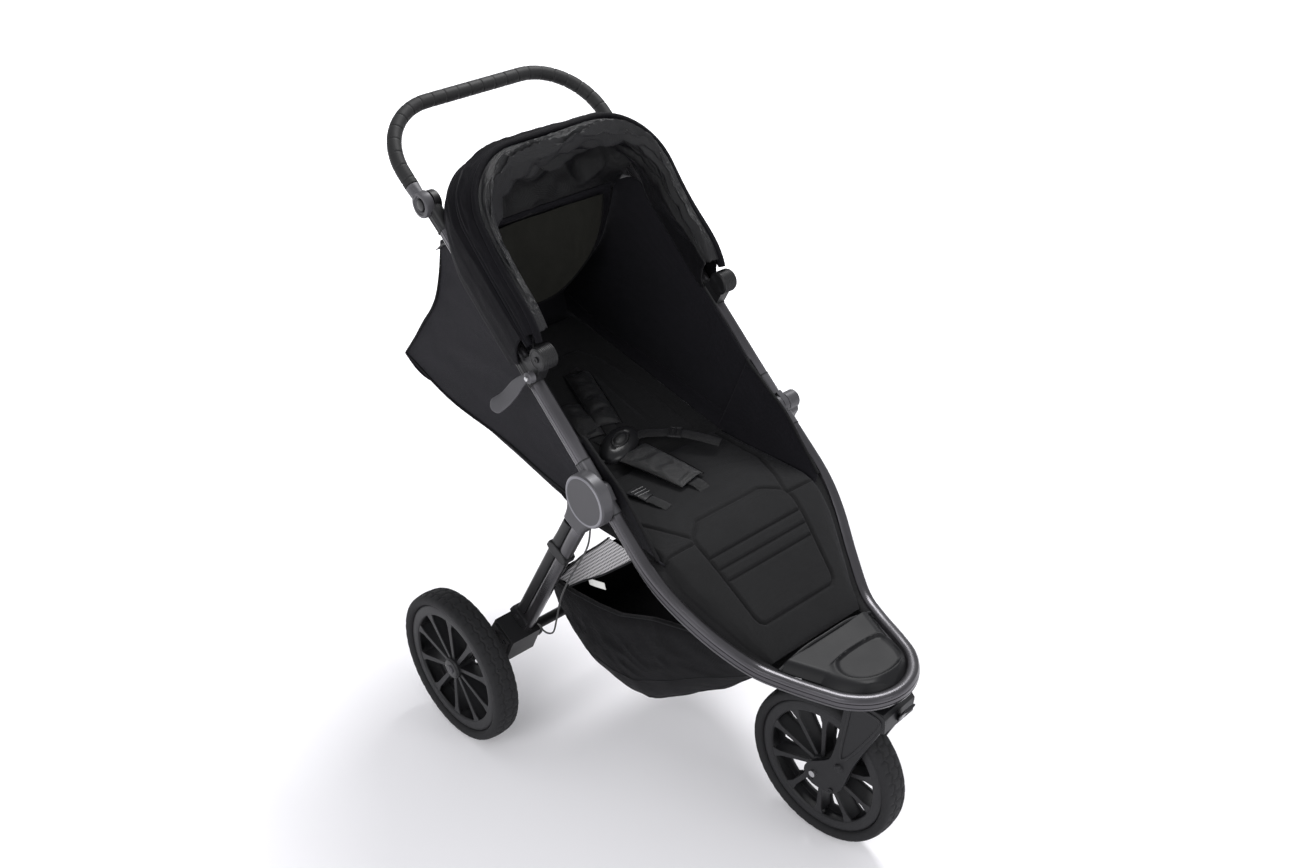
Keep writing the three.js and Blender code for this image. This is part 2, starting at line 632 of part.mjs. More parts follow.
function brakeCable() {
  const x = -(LEG_X - CASTING_WIDTH / 2 - 5);
  const points = [
    onLeg(62, -12), onLeg(110, -28), onLeg(170, -30), onLeg(230, -29), onLeg(290, -34), onLeg(340, -46),
    onLeg(380, -52), onLeg(400, -38), onLeg(403, -24),
  ].map(([y, z]) => new THREE.Vector3(x, y, z));
  const path = new THREE.CatmullRomCurve3(points, false, "centripetal");
  add("brake_cable", tubeAlong(path, 1.6, 24, 6), cableSleeve);
}

// ---------- front fork ----------
function fork() {
  const group = new THREE.Group();
  group.position.set(0, STEER_Y, 0);
  group.rotation.z = rad(SWIVEL_REST);
  axleFrame.add(group);
  const back = FRONT_AXLE_Y - STEER_Y; // the wheel trails the stem by this much
  const front = -49;
  const rear = 28;
  const arm = outline([
    [front, CROWN_TOP - 22], [front, CROWN_TOP], [rear, CROWN_TOP], [rear, CROWN_BOTTOM],
    [back - 38, 196], [back - 14, WHEEL_R + 34], [back + 18, WHEEL_R + 12],
    [back + 20, WHEEL_R - 14], [back + 4, WHEEL_R - 26], [back - 44, WHEEL_R - 24],
    [back - 62, WHEEL_R + 10], [back - 78, 214],
  ]);
  const outer = FORK_INNER + ARM_THICKNESS;
  const crown = new THREE.BoxGeometry(2 * outer - 2, rear - front, CROWN_TOP - CROWN_BOTTOM);
  crown.translate(0, (rear + front) / 2, (CROWN_TOP + CROWN_BOTTOM) / 2);
  const casting = cut(
    union(crown, prismX(arm, FORK_INNER, outer), prismX(arm, -outer, -FORK_INNER)),
    rodX(AXLE_R + RUN, -outer - 1, outer + 1, back, WHEEL_R, 20),
  );
  add("fork", casting, castGrey, group);

  const stemTop = NOSE_Z - 6 - 2;
  const stem = new THREE.CylinderGeometry(STEM_R, STEM_R, stemTop - CROWN_TOP - GAP, 20).rotateX(Math.PI / 2);
  add("steering_stem", stem.translate(0, 0, (stemTop + CROWN_TOP + GAP) / 2), steel, group);
  add("front_axle", rodX(AXLE_R, -outer - 4, outer + 4, back, WHEEL_R, 20), steel, group);

  const leverShape = outline([
    [front - GAP, CROWN_TOP - 30], [front - GAP, CROWN_TOP - 14], [front - 14, CROWN_TOP + 7],
    [front - 19, CROWN_TOP + 6], [front - 12, CROWN_TOP - 10], [front - 5, CROWN_TOP - 30],
  ]);
  add("swivel_lock_lever", prismX(leverShape, -12, 12), blackPlastic, group);

  add("front_wheel", wheel(1, false).translate(0, back, WHEEL_R), wheelPlastic, group);
  add("front_tyre", tyre().translate(0, back, WHEEL_R), tyreRubber, group);
}

frontFrame();
knuckles();
footplate();
seat();
basket();
upperFrame();
sideWalls();
handlebar();
canopy();
backrest();
rearWheels();
rearLegs();
brakeLever();
brakeCable();
fork();

// The origin is on the floor, in the middle of the whole object.
const stroller = new THREE.Group();
stroller.add(axleFrame);
const box = new THREE.Box3().setFromObject(stroller, true);
axleFrame.position.set(0, -(box.min.y + box.max.y) / 2, -box.min.z);

export default stroller;
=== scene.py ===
"""Looks of the jogging stroller. Lengths are in millimetres in the axle frame: the floor is Z = 0, the rear
axle is Y = 0, the middle is X = 0, the front is -Y and the rider's right is -X. at() turns them into
row-frame metres."""
import math

import bmesh
import bpy
import numpy as np
from mathutils import Matrix, Vector, noise


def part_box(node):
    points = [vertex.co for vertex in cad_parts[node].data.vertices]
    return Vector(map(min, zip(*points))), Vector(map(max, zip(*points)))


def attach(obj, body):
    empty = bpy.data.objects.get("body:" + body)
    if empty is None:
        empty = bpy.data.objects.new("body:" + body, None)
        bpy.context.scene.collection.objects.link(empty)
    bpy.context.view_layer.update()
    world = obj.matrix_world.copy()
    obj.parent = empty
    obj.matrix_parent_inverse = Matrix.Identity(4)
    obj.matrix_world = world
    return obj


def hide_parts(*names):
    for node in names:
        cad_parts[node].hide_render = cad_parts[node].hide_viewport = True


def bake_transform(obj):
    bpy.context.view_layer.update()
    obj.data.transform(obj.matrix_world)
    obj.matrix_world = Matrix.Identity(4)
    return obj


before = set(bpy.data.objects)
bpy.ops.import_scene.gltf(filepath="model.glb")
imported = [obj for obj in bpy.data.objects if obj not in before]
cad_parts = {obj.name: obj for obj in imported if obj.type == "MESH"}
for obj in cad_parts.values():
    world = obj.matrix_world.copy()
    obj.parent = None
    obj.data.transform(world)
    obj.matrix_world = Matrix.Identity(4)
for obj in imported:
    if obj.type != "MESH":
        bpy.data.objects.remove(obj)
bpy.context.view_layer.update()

low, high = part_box("rear_wheel_right")
AXLE_Y = (low.y + high.y) / 2  # the rear axle, in the row frame
SIDES = [("right", -1), ("left", 1)]

# ---------- sizes shared with the solid model ----------
FRAME_HALF = 200
HUB = (-276, 602)
FRAME_ANGLE = 41
UPPER_LENGTH = 550
LOWER_COLLAR = 41
UPPER_COLLAR = 57
NOSE_Z = 372
NOSE_RADIUS = 90
NOSE_Y = -647
LEG_ANGLE = -61.5
LEG_X = 225
WHEEL_R = 144
BEAD_R = 124
TRACK_HALF = 312
FRONT_AXLE_Y = -611
STEER_Y = -690
SWIVEL_REST = 4.4
HANDLE_HALF = 212
HANDLE_REACH = 177
HANDLE_TILT = 52
HANDLE_CORNER = 114
CANOPY_ALONG = 226
CANOPY_ABOVE = 51.6
RECLINE = (-150, 511)
BACK_ANGLE = 10.5
CASTING_HALF = 12.2
DISC_R = 46  # the round casting over the right hinge
EYE_R = 16  # the plain eye of the left casting
HUB_HALF = 22
SPOKES = 10
FORK_INNER, FORK_OUTER, FORK_FACE = 30, 39, 38.6
HANDLE_UP = (0, -0.616, 0.788)
WEB_WIDTH = 25
ALONG_X = (1, 0, 0)


def at(x, y, z):
    return Vector((x / 1000, y / 1000 + AXLE_Y, z / 1000))


def polar(angle, along, across):
    """A point in Y and Z from the fold hinge: along a direction, and square to it."""
    c, s = math.cos(math.radians(angle)), math.sin(math.radians(angle))
    return HUB[0] + along * c - across * s, HUB[1] + along * s + across * c


def on_frame(along, above):
    return polar(FRAME_ANGLE, along, above)


def on_leg(along, behind):
    return polar(LEG_ANGLE, along, behind)


# ---------- camera, floor and light ----------
scene = bpy.context.scene


def make_camera():
    azimuth, elevation, roll = math.radians(-41.77), math.radians(31.97), math.radians(-0.44)
    back = Vector((math.sin(azimuth) * math.cos(elevation), -math.cos(azimuth) * math.cos(elevation),
                   math.sin(elevation)))
    right = (-back).cross(Vector((0, 0, 1))).normalized()
    up = right.cross(-back)
    tilted = right * math.cos(roll) + up * math.sin(roll)
    above = tilted.cross(-back)
    data = bpy.data.cameras.new("camera")
    data.sensor_width = 36
    data.lens = 42.2
    data.clip_end = 60
    camera = bpy.data.objects.new("camera", data)
    scene.collection.objects.link(camera)
    turn = Matrix((tilted, above, back)).transposed().to_4x4()
    camera.matrix_world = Matrix.Translation(at(-1462.4, -1804.9, 1947.8)) @ turn
    scene.camera = camera


make_camera()


def node_material(name):
    material = bpy.data.materials.new(name)
    material.use_nodes = True
    nodes, links = material.node_tree.nodes, material.node_tree.links
    return material, nodes, links, nodes["Principled BSDF"]


def make_stage():
    size = 14
    data = bpy.data.meshes.new("floor")
    corners = [(-size, -size, -0.0005), (size, -size, -0.0005), (size, size, -0.0005), (-size, size, -0.0005)]
    data.from_pydata(corners, [], [(0, 1, 2, 3)])
    floor = bpy.data.objects.new("floor", data)
    scene.collection.objects.link(floor)
    material, nodes, links, shader = node_material("floor_white")
    shader.inputs["Base Color"].default_value = (0.90, 0.89, 0.92, 1)
    shader.inputs["Roughness"].default_value = 0.9
    shader.inputs["Specular IOR Level"].default_value = 0.1
    shader.inputs["Emission Color"].default_value = (1, 1, 1, 1)
    away = nodes.new("ShaderNodeVectorMath")
    away.operation = "LENGTH"
    links.new(nodes.new("ShaderNodeTexCoord").outputs["Object"], away.inputs[0])
    spread = nodes.new("ShaderNodeMapRange")
    spread.interpolation_type = "SMOOTHSTEP"
    spread.inputs["From Min"].default_value = 0.7
    spread.inputs["From Max"].default_value = 2.2
    spread.inputs["To Min"].default_value = 0.06
    spread.inputs["To Max"].default_value = 0.62
    links.new(away.outputs["Value"], spread.inputs["Value"])
    links.new(spread.outputs["Result"], shader.inputs["Emission Strength"])
    data.materials.append(material)

    world = bpy.data.worlds.new("studio")
    world.use_nodes = True
    world.node_tree.nodes["Background"].inputs["Color"].default_value = (0.97, 0.98, 1.0, 1)
    world.node_tree.nodes["Background"].inputs["Strength"].default_value = 0.62
    scene.world = world

    def area(name, place, target, size, power):
        light = bpy.data.lights.new(name, "AREA")
        light.shape = "DISK"
        light.size = size
        light.energy = power
        lamp = bpy.data.objects.new(name, light)
        scene.collection.objects.link(lamp)
        lamp.location = place
        lamp.rotation_euler = (Vector(target) - Vector(place)).to_track_quat("-Z", "Y").to_euler()

    area("key", (1.6, 0.9, 3.4), (0, 0, 0.4), 1.5, 100)
    area("fill", (-3.0, -1.2, 2.4), (0, 0, 0.5), 2.2, 56)
    area("front", (0.6, -3.4, 1.9), (0, -0.1, 0.5), 1.8, 26)
    scene.view_settings.view_transform = "Standard"
    scene.view_settings.look = "None"


make_stage()


# ---------- materials ----------
def noise_node(nodes, links, coords, scale, detail=4, roughness=0.55):
    node = nodes.new("ShaderNodeTexNoise")
    node.inputs["Scale"].default_value = scale
    node.inputs["Detail"].default_value = detail
    node.inputs["Roughness"].default_value = roughness
    links.new(coords, node.inputs["Vector"])
    return node


def ramp_node(nodes, links, source, stops):
    ramp = nodes.new("ShaderNodeValToRGB")
    elements = ramp.color_ramp.elements
    while len(elements) < len(stops):
        elements.new(0.5)
    for element, (place, color) in zip(elements, stops):
        element.position = place
        element.color = (*color, 1) if hasattr(color, "__len__") else (color, color, color, 1)
    links.new(source, ramp.inputs["Fac"])
    return ramp.outputs["Color"]


def bump_node(nodes, links, height, strength, distance, previous=None):
    bump = nodes.new("ShaderNodeBump")
    bump.inputs["Strength"].default_value = strength
    bump.inputs["Distance"].default_value = distance
    links.new(height, bump.inputs["Height"])
    if previous is not None:
        links.new(previous, bump.inputs["Normal"])
    return bump.outputs["Normal"]


def shade(color, factor):
    return tuple(min(1, c * factor) for c in color)


def hard(name, color, rough, metal=0.0, grain=900, grain_depth=0.00004, edge_highlight=1.5, coat=0.0, spread=0.12,
         gloss=0.3):
    """Painted metal or moulded plastic: fine grain, slow variation of colour and roughness, and a painted
    highlight that makes sharp edges paler.
    """
    material, nodes, links, shader = node_material(name)
    coords = nodes.new("ShaderNodeTexCoord").outputs["Object"]
    slow = noise_node(nodes, links, coords, 9, 5)
    fine = noise_node(nodes, links, coords, grain, 2)
    base = ramp_node(nodes, links, slow.outputs["Fac"],
                     [(0.3, shade(color, 0.85)), (0.7, shade(color, 1.15))])
    # Painted highlight: sharp convex edges, found from the mesh's pointiness, take a paler colour scaled by
    # the edge factor.
    geometry = nodes.new("ShaderNodeNewGeometry")
    edge = ramp_node(nodes, links, geometry.outputs["Pointiness"], [(0.52, 0.0), (0.60, 1.0)])
    mix = nodes.new("ShaderNodeMix")
    mix.data_type = "RGBA"
    links.new(edge, mix.inputs["Factor"])
    links.new(base, mix.inputs["A"])
    mix.inputs["B"].default_value = (*shade(color, edge_highlight), 1)
    links.new(mix.outputs["Result"], shader.inputs["Base Color"])
    shader.inputs["Metallic"].default_value = metal
    shader.inputs["Specular IOR Level"].default_value = gloss
    worn = ramp_node(nodes, links, slow.outputs["Fac"],
                     [(0.3, rough - spread / 2), (0.7, rough + spread / 2)])
    links.new(worn, shader.inputs["Roughness"])
    if coat:
        shader.inputs["Coat Weight"].default_value = coat
        shader.inputs["Coat Roughness"].default_value = 0.25
    links.new(bump_node(nodes, links, fine.outputs["Fac"], 0.6, grain_depth), shader.inputs["Normal"])
    return material


def woven(name, color, rough=0.85, thread=0.0011, depth=0.00022, sheen=0.25, creases=0.0012, gloss=0.14):
    """Cloth: threads along each of the row's axes, soft creases, and slow variation of colour."""
    material, nodes, links, shader = node_material(name)
    coords = nodes.new("ShaderNodeTexCoord").outputs["Object"]
    slow = noise_node(nodes, links, coords, 14, 6, 0.6)
    heights = []
    for direction in ("X", "Y", "Z"):
        wave = nodes.new("ShaderNodeTexWave")
        wave.bands_direction = direction
        wave.inputs["Scale"].default_value = 0.314 / thread
        wave.inputs["Distortion"].default_value = 0.6
        wave.inputs["Detail Scale"].default_value = 1.5
        links.new(coords, wave.inputs["Vector"])
        heights.append(wave.outputs["Fac"])
    total = heights[0]
    for height in heights[1:]:
        add = nodes.new("ShaderNodeMath")
        add.operation = "ADD"
        links.new(total, add.inputs[0])
        links.new(height, add.inputs[1])
        total = add.outputs["Value"]
    dark, pale = shade(color, 0.78), shade(color, 1.22)
    threads = ramp_node(nodes, links, total, [(0.2, dark), (1.0, pale)])
    patches = ramp_node(nodes, links, slow.outputs["Fac"], [(0.3, 0.82), (0.7, 1.0)])
    mix = nodes.new("ShaderNodeMix")
    mix.data_type = "RGBA"
    mix.blend_type = "MULTIPLY"
    mix.inputs["Factor"].default_value = 1
    links.new(threads, mix.inputs["A"])
    links.new(patches, mix.inputs["B"])
    links.new(mix.outputs["Result"], shader.inputs["Base Color"])
    shader.inputs["Roughness"].default_value = rough
    shader.inputs["Specular IOR Level"].default_value = gloss
    shader.inputs["Sheen Weight"].default_value = sheen
    shader.inputs["Sheen Roughness"].default_value = 0.45
    shader.inputs["Sheen Tint"].default_value = (0.5, 0.5, 0.56, 1)
    crease = noise_node(nodes, links, coords, 26, 3, 0.5)
    first = bump_node(nodes, links, crease.outputs["Fac"], 0.8, creases)
    links.new(bump_node(nodes, links, total, 0.7, depth, first), shader.inputs["Normal"])
    return material


# Each hard material scales the colour of its sharp edges by one factor: a painted highlight on those edges.
frame_paint = hard("frame_paint", (0.054, 0.052, 0.057), rough=0.29, metal=0.80, edge_highlight=2.2, coat=0.25)
cast_paint = hard("cast_paint", (0.057, 0.056, 0.061), rough=0.42, metal=0.30, edge_highlight=1.7, grain_depth=0.00006)
disc_paint = hard("disc_paint", (0.17, 0.168, 0.184), rough=0.36, metal=0.4, edge_highlight=1.3)
black_plastic = hard("black_plastic", (0.007, 0.007, 0.0078), rough=0.46, grain=1300, edge_highlight=2.0)
plate_plastic = hard("plate_plastic", (0.0065, 0.0065, 0.0075), rough=0.46, grain=1500, edge_highlight=1.5,
                     grain_depth=0.00003, gloss=0.2)
satin_plastic = hard("satin_plastic", (0.010, 0.010, 0.011), rough=0.30, grain=1500, edge_highlight=1.8,
                     grain_depth=0.00002)
fork_plastic = hard("fork_plastic", (0.0072, 0.0072, 0.0085), rough=0.46, grain=1200, edge_highlight=2.0)
wheel_plastic = hard("wheel_plastic", (0.013, 0.013, 0.0145), rough=0.50, grain=1100, edge_highlight=1.8)
tyre_rubber = hard("tyre_rubber", (0.0125, 0.0125, 0.0138), rough=0.80, grain=700, grain_depth=0.00012,
                   edge_highlight=1.4)
grip_foam = hard("grip_foam", (0.0115, 0.0115, 0.0122), rough=0.62, grain=1600, grain_depth=0.0001, edge_highlight=1.5)
bright_steel = hard("bright_steel", (0.45, 0.45, 0.46), rough=0.3, metal=1.0, edge_highlight=1.1)
pale_sleeve = hard("pale_sleeve", (0.05, 0.05, 0.05), rough=0.5)
canopy_cloth = woven("canopy_cloth", (0.0024, 0.0022, 0.0034), rough=0.66, sheen=0.03, gloss=0.09)
lining_cloth = woven("lining_cloth", (0.0034, 0.0033, 0.0042), rough=0.36, sheen=0.05, creases=0.0014,
                     gloss=0.30)
seat_cloth = woven("seat_cloth", (0.0102, 0.0102, 0.0107), rough=0.80, sheen=0.07)
side_cloth = woven("side_cloth", (0.0070, 0.0066, 0.0088), rough=0.76, sheen=0.06)
basket_cloth = woven("basket_cloth", (0.0028, 0.0027, 0.0033), rough=0.68, thread=0.0018, depth=0.0004,
                     sheen=0.03, creases=0.002, gloss=0.10)
pad_cloth = woven("pad_cloth", (0.0090, 0.0090, 0.0097), rough=0.38, sheen=0.08, creases=0.0022, gloss=0.42)
webbing = woven("webbing", (0.0092, 0.0092, 0.0097), rough=0.5, thread=0.0018, depth=0.0004, sheen=0.08,
                gloss=0.24)
binding = woven("binding", (0.0040, 0.0040, 0.0045), rough=0.7, thread=0.0015, depth=0.0003, sheen=0.05)
vent_cloth = woven("vent_cloth", (0.0130, 0.0128, 0.0102), rough=0.66, thread=0.002, depth=0.0004, sheen=0.08)
label_cloth = woven("label_cloth", (0.62, 0.62, 0.60), rough=0.7, thread=0.0012, sheen=0.1)


def mesh_material(name, pale, dark, pitch=0.0048):
    """Open netting seen against the light: pale diagonal threads with dark gaps."""
    material, nodes, links, shader = node_material(name)
    coords = nodes.new("ShaderNodeTexCoord").outputs["Object"]
    mapping = nodes.new("ShaderNodeMapping")
    mapping.inputs["Rotation"].default_value = (math.radians(45), 0, 0)
    links.new(coords, mapping.inputs["Vector"])
    masks = []
    for direction in ("Y", "Z"):
        wave = nodes.new("ShaderNodeTexWave")
        wave.bands_direction = direction
        wave.inputs["Scale"].default_value = 0.314 / pitch
        links.new(mapping.outputs["Vector"], wave.inputs["Vector"])
        masks.append(wave.outputs["Fac"])
    most = nodes.new("ShaderNodeMath")
    most.operation = "MAXIMUM"
    links.new(masks[0], most.inputs[0])
    links.new(masks[1], most.inputs[1])
    links.new(ramp_node(nodes, links, most.outputs["Value"], [(0.55, dark), (0.8, pale)]),
              shader.inputs["Base Color"])
    shader.inputs["Roughness"].default_value = 0.8
    links.new(bump_node(nodes, links, most.outputs["Value"], 0.6, 0.0003), shader.inputs["Normal"])
    return material


mesh_cloth = mesh_material("mesh_cloth", (0.46, 0.45, 0.46), (0.045, 0.045, 0.047))


# ---------- mesh helpers ----------
def make(name, vertices, faces, material, body, sharp=32, bevel=0.0, subdivide=0, thickness=0.0, slot=None,
         offset=0.0):
    """A piece from points in axle-frame millimetres. Its modifiers round, thicken or smooth it."""
    data = bpy.data.meshes.new(name)
    data.from_pydata([at(*v) for v in vertices], [], faces)
    return finish_mesh(name, data, material, body, sharp, bevel, subdivide, thickness, slot, offset)


def finish_mesh(name, data, material, body, sharp, bevel, subdivide, thickness, slot, offset=0.0):
    edit = bmesh.new()
    edit.from_mesh(data)
    bmesh.ops.remove_doubles(edit, verts=edit.verts, dist=1e-6)
    bmesh.ops.recalc_face_normals(edit, faces=edit.faces)
    edit.to_mesh(data)
    edit.free()
    data.materials.append(material)
    data.polygons.foreach_set("use_smooth", [True] * len(data.polygons))
    data.set_sharp_from_angle(angle=math.radians(sharp))
    piece = bpy.data.objects.new(name, data)
    scene.collection.objects.link(piece)
    if thickness:
        solidify = piece.modifiers.new("thickness", "SOLIDIFY")
        solidify.thickness = thickness / 1000
        solidify.offset = offset
    if bevel:
        rounding = piece.modifiers.new("rounding", "BEVEL")
        rounding.width = bevel / 1000
        rounding.segments = 3
        rounding.limit_method = "ANGLE"
        rounding.angle_limit = math.radians(30)
        rounding.harden_normals = False
    if subdivide:
        smoothing = piece.modifiers.new("smoothing", "SUBSURF")
        smoothing.levels = subdivide
        smoothing.render_levels = subdivide
    if body:
        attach(piece, body)
    return piece


def spline(points, count):
    """Evenly spaced points on a centripetal Catmull-Rom curve through the given points."""
    p = [np.array(q, float) for q in points]
    p = [2 * p[0] - p[1], *p, 2 * p[-1] - p[-2]]
    dense = []
    for i in range(1, len(p) - 2):
        knots = [0.0]
        for a, b in zip(p[i - 1:i + 2], p[i:i + 3]):
            knots.append(knots[-1] + max(1e-6, np.linalg.norm(b - a)) ** 0.5)
        t0, t1, t2, t3 = knots
        for t in np.linspace(t1, t2, 24, endpoint=False):
            a1 = (t1 - t) / (t1 - t0) * p[i - 1] + (t - t0) / (t1 - t0) * p[i]
            a2 = (t2 - t) / (t2 - t1) * p[i] + (t - t1) / (t2 - t1) * p[i + 1]
            a3 = (t3 - t) / (t3 - t2) * p[i + 1] + (t - t2) / (t3 - t2) * p[i + 2]
            b1 = (t2 - t) / (t2 - t0) * a1 + (t - t0) / (t2 - t0) * a2
            b2 = (t3 - t) / (t3 - t1) * a2 + (t - t1) / (t3 - t1) * a3
            dense.append((t2 - t) / (t2 - t1) * b1 + (t - t1) / (t2 - t1) * b2)
    dense.append(p[-2])
    return resample(dense, count)


def resample(points, count):
    points = np.array(points, float)
    steps = np.linalg.norm(np.diff(points, axis=0), axis=1)
    run = np.concatenate([[0], np.cumsum(steps)])
    wanted = np.linspace(0, run[-1], count)
    return np.stack([np.interp(wanted, run, points[:, k]) for k in range(points.shape[1])], axis=1)


def sweep(path, section, up=(0, 0, 1)):
    """A closed tube of the section, a list of (side, up) or a function of 0..1, along the path."""
    path = np.array(path, float)
    tangents = np.gradient(path, axis=0)
    vertices, faces = [], []
    for i, (point, tangent) in enumerate(zip(path, tangents)):
        t = i / (len(path) - 1)
        outline = section(t) if callable(section) else section
        tangent = tangent / np.linalg.norm(tangent)
        lead = np.array(up(t) if callable(up) else up, float)
        side = np.cross(tangent, lead)
        side /= np.linalg.norm(side)
        top = np.cross(side, tangent)
        for a, b in outline:
            vertices.append(tuple(point + side * a + top * b))
        n = len(outline)
        if i:
            for k in range(n):
                m = (k + 1) % n
                faces.append(((i - 1) * n + k, (i - 1) * n + m, i * n + m, i * n + k))
    faces.append(tuple(range(n)))
    faces.append(tuple(range(len(vertices) - n, len(vertices))))
    return vertices, faces


def oval(a, b, count=20, power=2.0):
    out = []
    for k in range(count):
        angle = 2 * math.pi * k / count
        c, s = math.cos(angle), math.sin(angle)
        out.append((a * math.copysign(abs(c) ** (2 / power), c), b * math.copysign(abs(s) ** (2 / power), s)))
    return out


def lathe(profile, center, segments=64, closed=False):
    """Turns (radius, x) points about a line along X through center."""
    vertices, faces = [], []
    n = len(profile)
    for i in range(segments):
        angle = 2 * math.pi * i / segments
        for r, x in profile:
            vertices.append((center[0] + x, center[1] + r * math.cos(angle), center[2] + r * math.sin(angle)))
    for i in range(segments):
        j = (i + 1) % segments
        for k in range(n if closed else n - 1):
            m = (k + 1) % n
            faces.append((i * n + k, i * n + m, j * n + m, j * n + k))
    return vertices, faces


def slab(outline, low, high):
    """An outline in Y and Z, extruded along X."""
    n = len(outline)
    vertices = [(low, y, z) for y, z in outline] + [(high, y, z) for y, z in outline]
    faces = [tuple(range(n)), tuple(range(2 * n - 1, n - 1, -1))]
    faces += [(k, (k + 1) % n, (k + 1) % n + n, k + n) for k in range(n)]
    return vertices, faces


def side_slab(outline, side, inner, outer):
    return slab(outline, -outer, -inner) if side < 0 else slab(outline, inner, outer)


def soften(outline, rounds=2):
    """Cuts an outline's corners, so that it turns smoothly."""
    for _ in range(rounds):
        cut = []
        for (y0, z0), (y1, z1) in zip(outline, outline[1:] + outline[:1]):
            cut.append((0.78 * y0 + 0.22 * y1, 0.78 * z0 + 0.22 * z1))
            cut.append((0.22 * y0 + 0.78 * y1, 0.22 * z0 + 0.78 * z1))
        outline = cut
    return outline


def join(*parts):
    vertices, faces = [], []
    for v, f in parts:
        start = len(vertices)
        vertices += list(v)
        faces += [tuple(i + start for i in face) for face in f]
    return vertices, faces


def moved(part, turn):
    vertices, faces = part
    return [tuple(turn(Vector(v))) for v in vertices], faces


def grid(shape, columns, rows):
    """An open sheet: shape(u, v) gives the point for u and v from 0 to 1."""
    vertices = [shape(i / columns, j / rows) for j in range(rows + 1) for i in range(columns + 1)]
    faces = []
    for j in range(rows):
        for i in range(columns):
            a = j * (columns + 1) + i
            faces.append((a, a + 1, a + columns + 2, a + columns + 1))
    return vertices, faces


def facing(profile, side):
    """A lathe's (radius, x) points with x counted outward on the given side."""
    return [(r, side * x) for r, x in profile]


def screw(center, side, radius=4.2):
    """A socket screw head facing outward along X."""
    head = [(0.01, 1.6), (radius * 0.45, 1.6), (radius * 0.5, 2.6), (radius * 0.9, 2.8), (radius, 2.1),
            (radius, -1)]
    return lathe(facing(head, side), center, 24)


def strap(path, width, thickness, up=(0, 0, 1)):
    half, t = width / 2, thickness / 2
    section = [(-half, 0), (-half + t, t), (-half * 0.4, t), (half * 0.4, t), (half - t, t), (half, 0),
               (half - t, -t), (half * 0.4, -t), (-half * 0.4, -t), (-half + t, -t)]
    return sweep(path, section, up)


def ripple(x, y, z, size, seed=0.0):
    """Smooth noise from -1 to 1 with features of the given size in millimetres."""
    return noise.noise(Vector((x / size + seed, y / size - seed, z / size + 2 * seed)))


def crumple(x, y, size, seed):
    """Soft cloth folds with sharper crests than plain noise has, from about -1 to 1."""
    first = ripple(x, y, 0, size, seed)
    second = ripple(x, y, 0, size * 0.55, seed + 3)
    return 0.9 - 2.1 * abs(first) ** 0.75 + 0.5 * second


def near_line(px, py, line):
    """Distance from a point to a polyline, all in one plane."""
    best = 1e9
    for (ax, ay), (bx, by) in zip(line, line[1:]):
        dx, dy = bx - ax, by - ay
        t = max(0, min(1, ((px - ax) * dx + (py - ay) * dy) / (dx * dx + dy * dy)))
        best = min(best, math.hypot(px - ax - t * dx, py - ay - t * dy))
    return best


# ---------- frame tubes ----------
half_tube = [(0, 13.0), (4.5, 12.6), (8.0, 10.6), (9.9, 7.4), (10.4, 5.2), (9.3, 4.5), (9.3, 3.5),
             (10.5, 2.8),
             (10.6, 0), (10.5, -2.8), (9.3, -3.5), (9.3, -4.5), (10.4, -5.2), (9.9, -7.4), (8.0, -10.6),
             (4.5, -12.6)]
TUBE = half_tube + [(-a, -b) for a, b in half_tube]


def scaled(section, factor, extra=0.0):
    return [(a * factor + math.copysign(extra, a) if a else a, b * factor) for a, b in section]


def rail_path():
    collar_y, collar_z = on_frame(-LOWER_COLLAR, 0)
    bend_y, bend_z = on_frame(-150, 0)
    side = [
        (FRAME_HALF, collar_y, collar_z), (FRAME_HALF, bend_y, bend_z),
        (FRAME_HALF - 11, HUB[0] - 156, HUB[1] - 136), (FRAME_HALF - 40, HUB[0] - 218, HUB[1] - 189),
        (FRAME_HALF - 69, HUB[0] - 277, NOSE_Z + 6), (NOSE_RADIUS + 24, NOSE_Y + 48, NOSE_Z),
        (NOSE_RADIUS + 2, NOSE_Y - 14, NOSE_Z),
    ]
    for degrees in (-32, -60, -90):
        a = math.radians(degrees)
        side.append((NOSE_RADIUS * math.cos(a), NOSE_Y + NOSE_RADIUS * math.sin(a), NOSE_Z))
    return side + [(-x, y, z) for x, y, z in side[-2::-1]]


